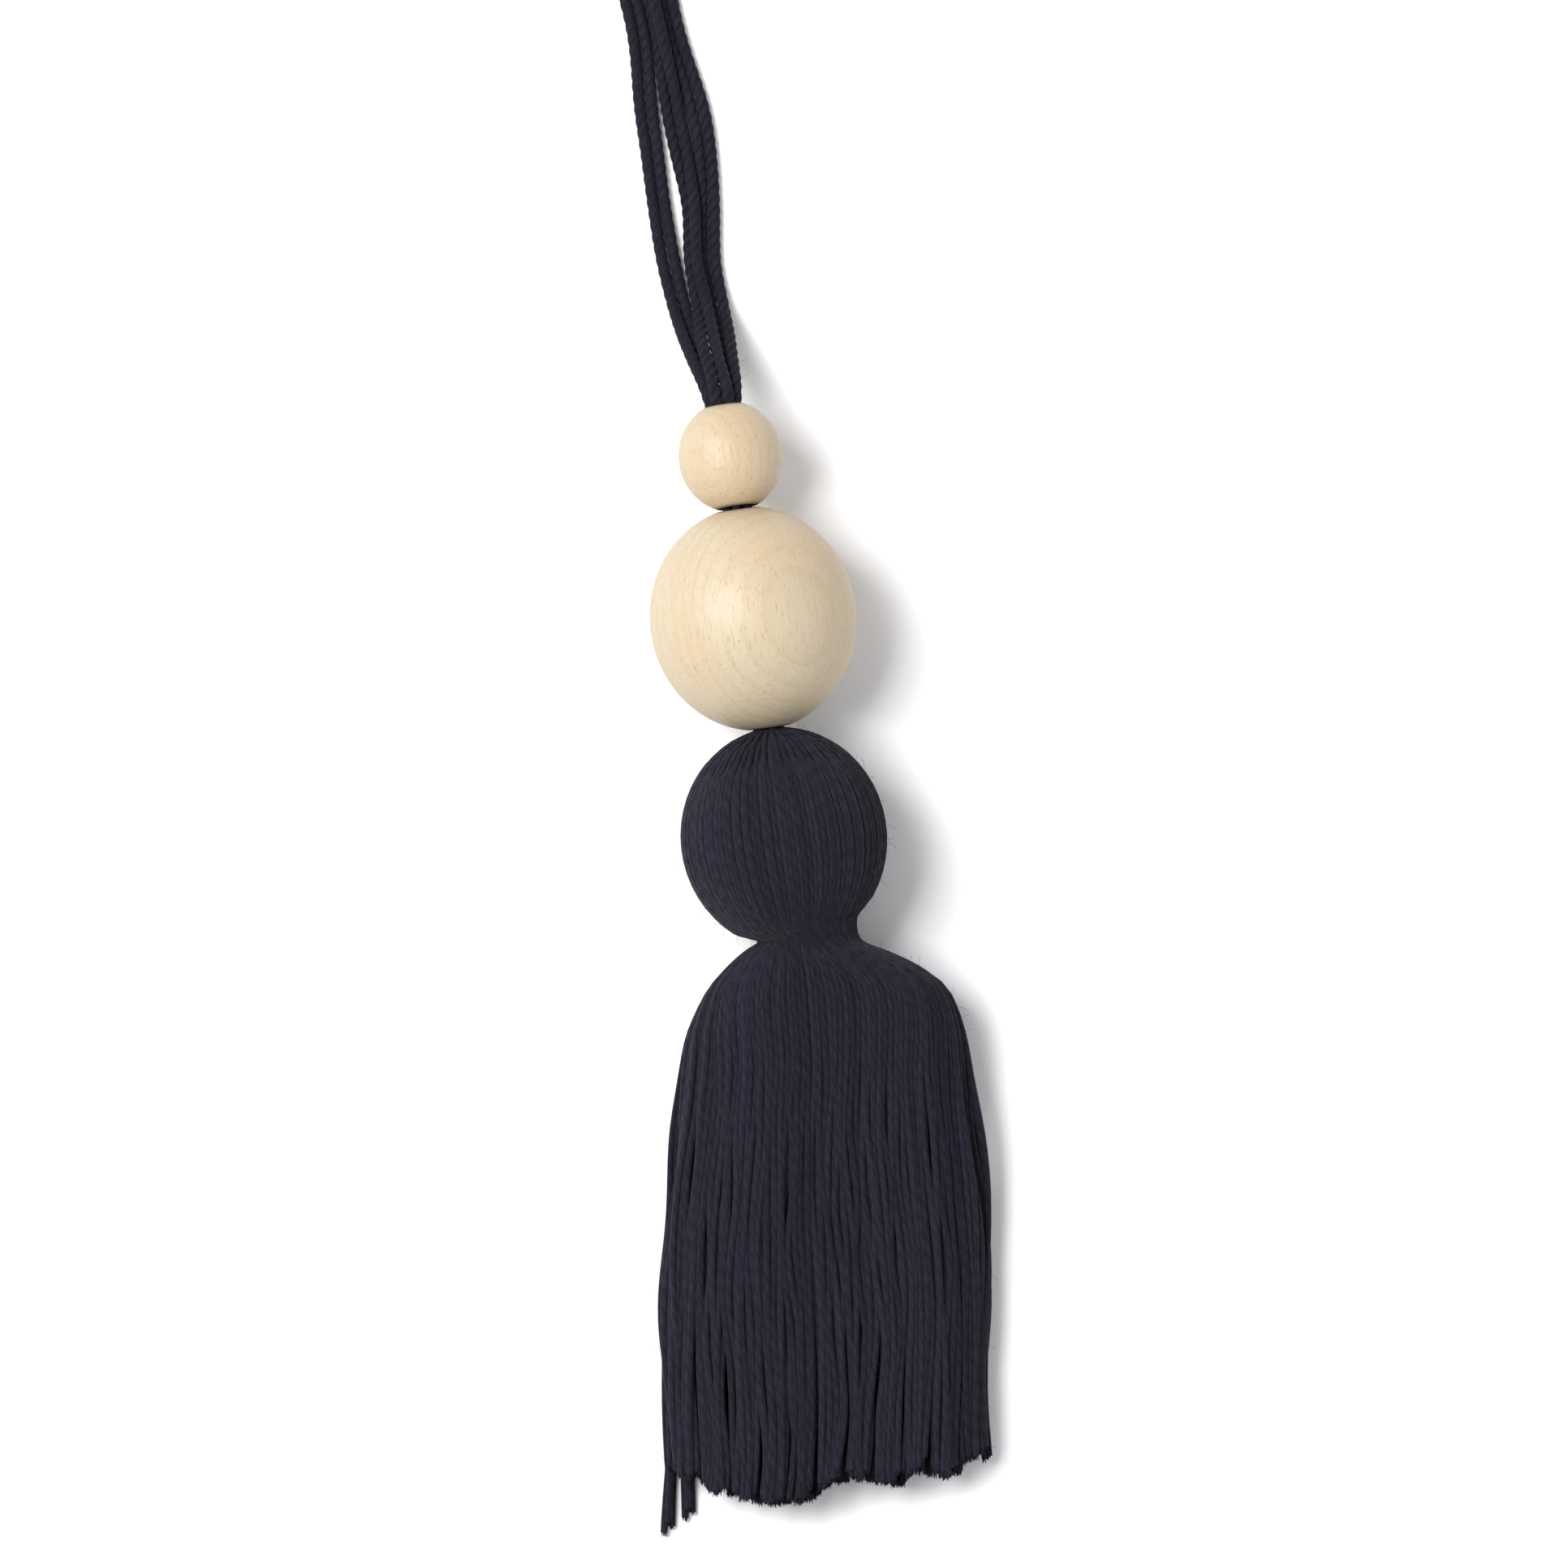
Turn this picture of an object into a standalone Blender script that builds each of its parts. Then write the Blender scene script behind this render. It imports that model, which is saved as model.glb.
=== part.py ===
"""A cotton tassel with two wooden beads and a hanging loop, lying on a table.

Metres, +Z up. The origin is on the table under the middle of the tassel's head. +Y points along
the table to the hanging loop, and the cut ends of the skirt point to -Y.
"""

import math
import random

import bmesh
import bpy
from mathutils import Matrix, Vector

MM = 0.001
CLEARANCE = 0.3 * MM

# The hanging threads, and the holes that they fill
THREAD_DIAMETER = 1.1 * MM
THREAD_RADIUS = THREAD_DIAMETER / 2
THREAD_RING_RADIUS = THREAD_DIAMETER + CLEARANCE
BUNDLE_RADIUS = THREAD_RING_RADIUS + THREAD_RADIUS
HOLE_RADIUS = BUNDLE_RADIUS + 0.4 * MM
RIM_WIDTH = 0.45 * MM
RIM_DEPTH = 0.2 * MM

# The beads, as radius and half length along the hole
LARGE_BEAD_RADIUS = 12.5 * MM
LARGE_BEAD_HALF = 13.2 * MM
SMALL_BEAD_RADIUS = 6.3 * MM
SMALL_BEAD_HALF = 6.0 * MM

# How the beads lie: the stack leans to -X as it goes to +Y, and the small bead dips to the table
STACK_LEAN = math.radians(8)
SMALL_BEAD_DIP = math.radians(5)
STACK_AXIS = Vector((-math.sin(STACK_LEAN), math.cos(STACK_LEAN), 0))
STACK_ACROSS = Vector((math.cos(STACK_LEAN), math.sin(STACK_LEAN), 0))
DIPPED_AXIS = Vector((STACK_AXIS.x * math.cos(SMALL_BEAD_DIP),
                      STACK_AXIS.y * math.cos(SMALL_BEAD_DIP),
                      -math.sin(SMALL_BEAD_DIP)))

# The tassel's head, a ball of yarn with a small flat spot where it lies
HEAD_RADIUS = 12.5 * MM
HEAD_HALF = 13.2 * MM
HEAD_SINK = 0.5 * MM
HEAD_CENTRE = Vector((0, 0, HEAD_RADIUS - HEAD_SINK))
HEAD_RINGS = 11
HEAD_FIRST_ANGLE = math.radians(9)
HEAD_LAST_ANGLE = math.radians(145)
RIDGES = 36
RIDGE_HEIGHT = 0.3 * MM

# The neck and shoulders: y, middle x, middle z, half width, half height
SHOULDER_COLUMNS = ("y", "x", "z", "half_width", "half_height")
SHOULDERS = (
    (-12.5, 3.2, 10.8, 6.4, 6.2),
    (-13.9, 4.6, 10.2, 8.4, 7.0),
    (-15.6, 5.4, 9.6, 11.2, 7.8),
    (-18.0, 5.6, 8.9, 14.0, 8.2),
    (-21.0, 5.3, 8.3, 16.0, 8.1),
    (-24.6, 5.1, 7.8, 17.2, 7.6),
)

# The skirt below the shoulders: y, middle x, half width, height of its top layer at the middle
SKIRT_COLUMNS = ("y", "x", "half_width", "top")
SKIRT = (
    (-20.5, 5.3, 14.4, 13.6),
    (-24.6, 5.1, 15.7, 13.6),
    (-30.0, 5.0, 17.2, 12.9),
    (-42.0, 5.1, 18.4, 11.2),
    (-60.0, 5.3, 19.6, 9.4),
    (-86.0, 5.6, 20.9, 8.6),
)
STRAND_THICKNESS = 1.3 * MM
ROOT_LIFT = 2.5 * MM
ROOT_NARROWING = 0.72
FLOOR_Y = -31.0 * MM
ROOT_Y = -20.5 * MM
# From the table up: how many strands, and the layer's width as a share of the widest
STRANDS_PER_LAYER = (19, 22, 23, 20, 15)
LAYER_WIDTHS = (0.80, 1.0, 0.98, 0.87, 0.64)
STRAND_STEPS = 6
SWAY = 0.8 * MM
SWAY_LENGTH = 55 * MM
SWAY_WIDTH = 9 * MM
RAGGEDNESS = 1.1 * MM
UNDERSIDE_SHORTER = 1.6 * MM

# The cut edge of the skirt: x from the skirt's middle, y of the cut
CUT_COLUMNS = ("x", "y")
CUT_EDGE = (
    (-21.0, -76.2),
    (-15.5, -77.8),
    (-11.0, -79.3),
    (-6.5, -80.0),
    (-3.5, -79.4),
    (0.0, -77.4),
    (2.8, -76.5),
    (8.0, -77.3),
    (12.0, -76.3),
    (16.0, -76.1),
    (20.0, -74.0),
)
# A lock at the skirt's left edge that hangs past the cut
LONG_LOCK = 6.2 * MM
LONG_LOCK_PLACE = -0.78
LONG_LOCK_LAYERS = (0, 1, 2)

# The hanging threads side by side on the table, named from left to right. Where they are close,
# thread f lies on top of c and d. Each row: distance from the small bead, the bundle's middle x
# and z, then each thread's offset to the side
ROUTE_COLUMNS = ("along", "x", "z", "a", "b", "c", "f", "d", "e")
ROUTE = (
    (0.0, 0.0, 0.0, -1.40, -0.70, -0.70, 0.70, 0.70, 1.40),
    (3.0, -0.5, -0.7, -1.95, -0.77, -0.75, 0.75, 0.77, 1.95),
    (5.5, -1.25, -2.0, -2.35, -1.05, -0.75, 0.75, 1.05, 2.35),
    (9.0, -2.15, -4.8, -2.88, -1.52, -0.65, 0.87, 1.45, 2.80),
    (13.0, -3.1, -8.5, -3.18, -1.74, -0.18, 1.00, 1.50, 2.95),
    (18.0, -4.1, -10.6, -3.40, -1.85, -0.05, 0.85, 1.55, 3.05),
    (24.6, -4.7, -10.8, -3.85, -2.40, 0.30, 1.15, 2.05, 3.55),
    (31.0, -5.5, -10.8, -3.90, -2.45, -0.35, 1.08, 2.50, 3.95),
    (36.6, -6.3, -10.8, -3.90, -2.40, -0.70, 0.78, 2.30, 3.85),
    (44.6, -7.95, -10.8, -2.95, -1.52, -0.10, 0.68, 1.45, 2.90),
    (50.7, -9.2, -10.8, -3.10, -1.68, -0.25, 0.50, 1.33, 2.78),
    (56.0, -10.5, -10.8, -3.95, -2.35, -0.75, 0.75, 2.25, 3.80),
    (61.0, -11.6, -10.8, -4.40, -2.75, -1.05, 0.75, 2.50, 4.15),
)
# How far each thread has gone from its place in the hole to the table's level, and thread f's lift
SETTLE_COLUMNS = ("along", "share", "lift_f")
SETTLE = (
    (0.0, 0.0, 0.0),
    (2.5, 0.0, 0.0),
    (9.0, 0.35, 0.35),
    (14.0, 0.85, 1.25),
    (19.0, 1.0, 1.3),
    (24.6, 1.0, 1.3),
    (28.0, 1.0, 0.8),
    (31.5, 1.0, 0.0),
    (35.0, 1.0, 0.0),
    (39.5, 1.0, 0.95),
    (44.6, 1.0, 1.3),
    (50.7, 1.0, 1.3),
    (56.0, 1.0, 0.75),
    (60.0, 1.0, 0.0),
    (61.0, 1.0, 0.0),
)
# Each thread's place in the round bundle, as an angle from the side
HOLE_ANGLES = {"a": 180, "b": 240, "c": 120, "f": 60, "d": 300, "e": 0}
# The turn at the end of each loop: its two threads, how far its middle is to the side of the
# small bead's outer end and past it, and its radius
LOOPS = {
    "loop_inner": ("c", "f", -13.0 * MM, 66.9 * MM, 3.0 * MM),
    "loop_middle": ("b", "d", -13.5 * MM, 69.0 * MM, 5.15 * MM),
    "loop_outer": ("a", "e", -14.1 * MM, 71.0 * MM, 7.15 * MM),
}
TABLE_GAP = 0.05 * MM
FLOOR_HEIGHT = TABLE_GAP + THREAD_RADIUS
# How far inside the small bead's hole the loops and the bundle end
LOOP_SEAT = 0.6 * MM
BUNDLE_SEAT = 1.0 * MM
LEG_POINTS = 10
LEG_CROWDING = 1.35
TURN_POINTS = 8

# Colours, as linear RGB
COTTON_BLACK = (0.015, 0.016, 0.028, 1)
WOOD_PALE = (0.72, 0.56, 0.36, 1)


def clear_scene():
    """Removes every object, so that the script can be run again."""
    for old in list(bpy.data.objects):
        bpy.data.objects.remove(old)


def plain_material(name, colour, roughness):
    """A Principled BSDF of one colour."""
    material = bpy.data.materials.new(name)
    material.use_nodes = True
    shader = material.node_tree.nodes["Principled BSDF"]
    shader.inputs["Base Color"].default_value = colour
    shader.inputs["Roughness"].default_value = roughness
    shader.inputs["Metallic"].default_value = 0
    return material


def add_object(name, data, collection, material):
    """Links new data as an object of that name."""
    made = bpy.data.objects.new(name, data)
    made.data.materials.append(material)
    collection.objects.link(made)
    return made


def read_table(rows, columns, at, unit=MM):
    """The row of a table at a station of its first column, on a smooth curve through its rows."""
    stations = [row[0] * unit for row in rows]
    rising = stations[-1] > stations[0]
    last = len(rows) - 2
    low = 0
    while low < last and (at > stations[low + 1] if rising else at < stations[low + 1]):
        low += 1
    span = stations[low + 1] - stations[low]
    share = min(1, max(0, (at - stations[low]) / span))
    found = {columns[0]: at}
    for column, name in enumerate(columns[1:], start=1):
        here, there = rows[low][column], rows[low + 1][column]
        slopes = []
        for row in (low, low + 1):
            before, after = max(0, row - 1), min(len(rows) - 1, row + 1)
            rise = rows[after][column] - rows[before][column]
            slopes.append(rise / (stations[after] - stations[before]) * span)
        cube, square = share ** 3, share ** 2
        value = ((2 * cube - 3 * square + 1) * here + (cube - 2 * square + share) * slopes[0]
                 + (3 * square - 2 * cube) * there + (cube - square) * slopes[1])
        found[name] = value * unit
    return found


def rotation_to(axis):
    """The rotation that turns +Z to an axis."""
    return Vector((0, 0, 1)).rotation_difference(axis).to_matrix().to_4x4()


def bead(name, radius, half_length, steps, arc_points, collection, material):
    """A turned wooden bead on its own +Z, with a drilled hole and an eased rim at each end."""
    rim_radius = HOLE_RADIUS + RIM_WIDTH
    full_half = half_length / math.sqrt(1 - (rim_radius / radius) ** 2)
    rim_angle = math.asin(rim_radius / radius)
    profile = []
    for i in range(arc_points):
        angle = rim_angle + (math.pi - 2 * rim_angle) * i / (arc_points - 1)
        profile.append((radius * math.sin(angle), full_half * math.cos(angle)))
    profile.append((HOLE_RADIUS, -half_length + RIM_DEPTH))
    profile.append((HOLE_RADIUS, half_length - RIM_DEPTH))

    shape = bmesh.new()
    points = [shape.verts.new((r, 0, z)) for r, z in profile]
    for i, point in enumerate(points):
        shape.edges.new((point, points[(i + 1) % len(points)]))
    mesh = bpy.data.meshes.new(name)
    shape.to_mesh(mesh)
    shape.free()

    made = add_object(name, mesh, collection, material)
    turn = made.modifiers.new("turned", "SCREW")
    turn.axis = "Z"
    turn.angle = math.tau
    turn.steps = steps
    turn.render_steps = steps
    turn.use_merge_vertices = True
    turn.merge_threshold = 0.01 * MM
    turn.use_smooth_shade = True
    return made


def head_sections():
    """Each ring from the head's pole down: its centre, direction across, half width and height."""
    sections = []
    for i in range(HEAD_RINGS):
        share = i / (HEAD_RINGS - 1)
        angle = HEAD_FIRST_ANGLE + (HEAD_LAST_ANGLE - HEAD_FIRST_ANGLE) * share
        centre = HEAD_CENTRE + STACK_AXIS * (HEAD_HALF * math.cos(angle))
        radius = HEAD_RADIUS * math.sin(angle)
        sections.append((centre, STACK_ACROSS, radius, radius))
    for row in SHOULDERS:
        at = dict(zip(SHOULDER_COLUMNS, row))
        centre = Vector((at["x"], at["y"], at["z"])) * MM
        across = Vector((1, 0, 0))
        sections.append((centre, across, at["half_width"] * MM, at["half_height"] * MM))
    return sections


def head_mesh():
    """The head, neck and shoulders as one loft, with a ridge for each lock of yarn."""
    up = Vector((0, 0, 1))
    shape = bmesh.new()
    around = 2 * RIDGES
    rings = []
    for centre, across, half_width, half_height in head_sections():
        ridge = RIDGE_HEIGHT * min(1, half_width / HEAD_RADIUS)
        ring = []
        for i in range(around):
            angle = math.tau * i / around
            out = 0 if i % 2 else -ridge
            point = (centre + across * (half_width + out) * math.cos(angle)
                     + up * (half_height + out) * math.sin(angle))
            point.z = max(0, point.z)
            ring.append(shape.verts.new(point))
        rings.append(ring)
    for first, second in zip(rings, rings[1:]):
        for i in range(around):
            following = (i + 1) % around
            shape.faces.new((first[i], first[following], second[following], second[i]))
    shape.faces.new(rings[0])
    shape.faces.new(rings[-1])
    bmesh.ops.recalc_face_normals(shape, faces=shape.faces)
    mesh = bpy.data.meshes.new("head")
    shape.to_mesh(mesh)
    shape.free()
    return mesh


def strand_point(y, layer, place, nudge):
    """The middle of a skirt strand at a given y. Place runs from -1 at the left to 1."""
    skirt = read_table(SKIRT, SKIRT_COLUMNS, y)
    layers = len(STRANDS_PER_LAYER)
    height = layer / (layers - 1)
    low = STRAND_THICKNESS / 2
    landed = min(1, max(0, (ROOT_Y - y) / (ROOT_Y - FLOOR_Y)))
    low += ROOT_LIFT * (1 - landed) ** 2
    top = skirt["top"] - STRAND_THICKNESS / 2
    x = place * (skirt["half_width"] - STRAND_THICKNESS / 2) * LAYER_WIDTHS[layer]
    below = min(1, (ROOT_Y - y) / SWAY_LENGTH)
    sway = SWAY * below * math.sin(math.tau * -y / SWAY_LENGTH + x / SWAY_WIDTH)
    return Vector((skirt["x"] + x + sway + nudge * below, y, low + (top - low) * height))


def cut_length(layer, place, dice):
    """The y at which a strand is cut."""
    half_width = SKIRT[-1][2] * MM * LAYER_WIDTHS[layer]
    cut = read_table(CUT_EDGE, CUT_COLUMNS, place * half_width)["y"]
    cut += dice.uniform(-RAGGEDNESS, RAGGEDNESS)
    if layer == 0:
        cut += UNDERSIDE_SHORTER
    if layer in LONG_LOCK_LAYERS and place < LONG_LOCK_PLACE:
        cut -= LONG_LOCK
    return cut


def add_strand(shape, layer, place, dice):
    """A square strand from inside the shoulders to its cut end."""
    nudge = dice.uniform(-0.1, 0.1) * MM
    end = cut_length(layer, place, dice)
    half = STRAND_THICKNESS / 2
    corners = ((-half, -half), (half, -half), (half, half), (-half, half))
    rings = []
    for step in range(STRAND_STEPS + 1):
        share = (step / STRAND_STEPS) ** 1.25
        middle = strand_point(ROOT_Y + (end - ROOT_Y) * share, layer, place, nudge)
        narrow = ROOT_NARROWING + (1 - ROOT_NARROWING) * min(1, share * 2)
        rings.append([shape.verts.new(middle + Vector((x * narrow, 0, z))) for x, z in corners])
    for first, second in zip(rings, rings[1:]):
        for i in range(len(corners)):
            following = (i + 1) % len(corners)
            shape.faces.new((first[i], first[following], second[following], second[i]))
    shape.faces.new(rings[0])
    shape.faces.new(rings[-1])


def skirt_mesh():
    """All the strands of the skirt, apart from each other."""
    dice = random.Random(7)
    shape = bmesh.new()
    for layer, count in enumerate(STRANDS_PER_LAYER):
        for i in range(count):
            add_strand(shape, layer, -1 + 2 * i / (count - 1), dice)
    bmesh.ops.recalc_face_normals(shape, faces=shape.faces)
    mesh = bpy.data.meshes.new("skirt")
    shape.to_mesh(mesh)
    shape.free()
    return mesh


def tassel(collection, cutters, material):
    """The head with the skirt's strands joined to it at their roots."""
    strands = add_object("skirt_strands", skirt_mesh(), cutters, material)
    strands.hide_render = True
    strands.display_type = "WIRE"
    made = add_object("tassel", head_mesh(), collection, material)
    join = made.modifiers.new("strands", "BOOLEAN")
    join.operation = "UNION"
    join.solver = "EXACT"
    join.object = strands
    return made


def line_object(name, points, radius, roundness, collection, material):
    """A tube with closed ends along a row of points."""
    curve = bpy.data.curves.new(name, "CURVE")
    curve.dimensions = "3D"
    curve.bevel_depth = radius
    curve.bevel_resolution = roundness
    curve.use_fill_caps = True
    spline = curve.splines.new("POLY")
    spline.points.add(len(points) - 1)
    for place, point in zip(spline.points, points):
        place.co = (*point, 1)
    spline.use_smooth = True
    return add_object(name, curve, collection, material)


def hole_place(name, centre):
    """A thread's place in the round bundle at a point on the small bead's axis."""
    across = DIPPED_AXIS.cross(Vector((0, 0, 1))).normalized()
    up = across.cross(DIPPED_AXIS).normalized()
    angle = math.radians(HOLE_ANGLES[name])
    return centre + (across * math.cos(angle) + up * math.sin(angle)) * THREAD_RING_RADIUS


def thread_point(name, along, exit_point):
    """The middle of a hanging thread at a distance from the small bead's outer end."""
    row = read_table(ROUTE, ROUTE_COLUMNS, along)
    settle = read_table(SETTLE, SETTLE_COLUMNS, along)
    share = min(1, max(0, settle["share"] / MM))
    hole_height = math.sin(math.radians(HOLE_ANGLES[name])) * THREAD_RING_RADIUS
    held = exit_point.z + row["z"] + hole_height
    floor = FLOOR_HEIGHT + (max(0, settle["lift_f"]) if name == "f" else 0)
    height = held * (1 - share) + floor * share
    return Vector((exit_point.x + row["x"] + row[name], exit_point.y + along, max(floor, height)))


def meeting_angle(point, middle, radius, side):
    """The angle on a turn's circle at which a straight thread from a point meets it smoothly."""
    away = point - middle
    spread = math.acos(radius / math.hypot(away.x, away.y))
    return math.atan2(away.y, away.x) + side * spread


def loop_points(loop, exit_point):
    """The route of one hanging loop, out along one thread, round its turn and back."""
    left, right, turn_aside, turn_along, turn_radius = LOOPS[loop]
    last = ROUTE[-1][0] * MM
    legs = []
    for name in (left, right):
        leg = [hole_place(name, exit_point - DIPPED_AXIS * LOOP_SEAT)]
        for i in range(1, LEG_POINTS):
            along = last * (i / (LEG_POINTS - 1)) ** LEG_CROWDING
            leg.append(thread_point(name, along, exit_point))
        legs.append(leg)
    middle = Vector((exit_point.x + turn_aside, exit_point.y + turn_along, FLOOR_HEIGHT))
    start = meeting_angle(legs[0][-1], middle, turn_radius, -1) + math.tau
    end = meeting_angle(legs[1][-1], middle, turn_radius, 1)
    turn = []
    for i in range(TURN_POINTS):
        angle = start + (end - start) * i / (TURN_POINTS - 1)
        turn.append(middle + Vector((math.cos(angle), math.sin(angle), 0)) * turn_radius)
    return legs[0] + turn + legs[1][::-1]


def build():
    """Makes every piece and sets it in its place."""
    clear_scene()
    parts = bpy.data.collections.new("bead_tassel")
    cutters = bpy.data.collections.new("joined_shapes")
    bpy.context.scene.collection.children.link(parts)
    bpy.context.scene.collection.children.link(cutters)
    cotton = plain_material("cotton", COTTON_BLACK, 0.9)
    wood = plain_material("wood", WOOD_PALE, 0.55)

    tassel(parts, cutters, cotton)

    large_away = HEAD_HALF + LARGE_BEAD_HALF + CLEARANCE
    large_centre = STACK_AXIS * large_away + Vector((0, 0, LARGE_BEAD_RADIUS))
    large = bead("large_bead", LARGE_BEAD_RADIUS, LARGE_BEAD_HALF, 32, 15, parts, wood)
    large.matrix_world = Matrix.Translation(large_centre) @ rotation_to(STACK_AXIS)

    meeting = large_centre + STACK_AXIS * LARGE_BEAD_HALF
    hinge_gap = CLEARANCE + (HOLE_RADIUS + RIM_WIDTH) * math.sin(SMALL_BEAD_DIP)
    small_centre = meeting + DIPPED_AXIS * (SMALL_BEAD_HALF + hinge_gap)
    small = bead("small_bead", SMALL_BEAD_RADIUS, SMALL_BEAD_HALF, 24, 11, parts, wood)
    small.matrix_world = Matrix.Translation(small_centre) @ rotation_to(DIPPED_AXIS)

    exit_point = small_centre + DIPPED_AXIS * SMALL_BEAD_HALF
    core = [large_centre - STACK_AXIS * (LARGE_BEAD_HALF - CLEARANCE),
            large_centre,
            meeting + STACK_AXIS * hinge_gap / 2,
            small_centre,
            exit_point - DIPPED_AXIS * BUNDLE_SEAT]
    line_object("bead_threads", core, BUNDLE_RADIUS, 4, parts, cotton)

    for loop in LOOPS:
        line_object(loop, loop_points(loop, exit_point), THREAD_RADIUS, 2, parts, cotton)


build()
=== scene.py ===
"""The looks of a yarn tassel that hangs on looped threads through two wooden beads.

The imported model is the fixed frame. Every piece is made in metres, in the frame's own place.
"""

import logging
import math
import random
from dataclasses import dataclass
from enum import Enum

import bmesh
import bpy
from bpy.types import (ID, Material, Mesh, Node, NodeInputs, NodeOutputs, NodeSocket, NodeTree,
                       Object)
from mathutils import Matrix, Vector


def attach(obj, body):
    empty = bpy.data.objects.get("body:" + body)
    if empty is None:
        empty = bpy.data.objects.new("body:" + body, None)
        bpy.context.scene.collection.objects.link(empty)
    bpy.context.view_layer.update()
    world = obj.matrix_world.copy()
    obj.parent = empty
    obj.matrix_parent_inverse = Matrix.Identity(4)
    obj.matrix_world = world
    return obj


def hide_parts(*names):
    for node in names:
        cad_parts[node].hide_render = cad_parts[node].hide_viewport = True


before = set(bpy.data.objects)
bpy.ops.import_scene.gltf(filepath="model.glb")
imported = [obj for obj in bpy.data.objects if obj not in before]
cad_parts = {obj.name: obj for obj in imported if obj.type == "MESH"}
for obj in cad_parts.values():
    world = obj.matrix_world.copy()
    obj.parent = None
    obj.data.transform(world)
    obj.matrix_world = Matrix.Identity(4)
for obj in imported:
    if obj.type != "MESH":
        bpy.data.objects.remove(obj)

MM = 0.001
ROOT = "root"
UP = Vector((0, 0, 1))

# Stray fibres: the least upward slope that they grow on, their bend for a length of 1, how far
# they lean over in radians, and the shortest one's share of the full length
FIBRE_SLOPE = -0.1
FIBRE_BEND = ((0, 0, -0.1), (0.1, 0.05, 0.6), (0.75, 0.3, 0.75))
FIBRE_LEAN = 0.9
SHORTEST_FIBRE = 0.35

# Spun yarn: how far each strand's pattern is shifted, how round a ply looks, the fibres' pattern
# per metre along the strand and its stretch, and how much of the painted highlight on the plies'
# crowns shows
STRAND_SHIFT = 61.0
PLY_ROUNDNESS = 0.6
FIBRES_PER_METRE = 420.0
FIBRE_STRETCH = (3.6, 3.6, 1.6)
PAINTED_HIGHLIGHT_SHARE = 0.55

# Wood: how often its patterns repeat per metre, across the grain twice and along it
WANDER_STRETCH = (70.0, 70.0, 22.0)
STREAK_STRETCH = (2100.0, 2100.0, 95.0)
PORE_STRETCH = (4300.0, 4300.0, 480.0)
CLOUD_STRETCH = (95.0, 95.0, 48.0)
RING_STRETCH = (1, 1, 0.13)
RING_WANDER = 2.4
LATE_WOOD_SHARPNESS = 2.4
# Painted shade round the hole: how far from the hole it reaches, where it is full, and how much of
# the colour it takes
RIM_SHADE_REACH = 0.9 * MM
RIM_SHADE_FULL = 0.05 * MM
RIM_SHADE_SHARE = 0.72

Colour = tuple[float, float, float]
log = logging.getLogger("tassel")


class Slot(Enum):
    """The record's material slots."""

    YARN = "yarn"
    WOOD = "wood"


# Node trees


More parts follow.
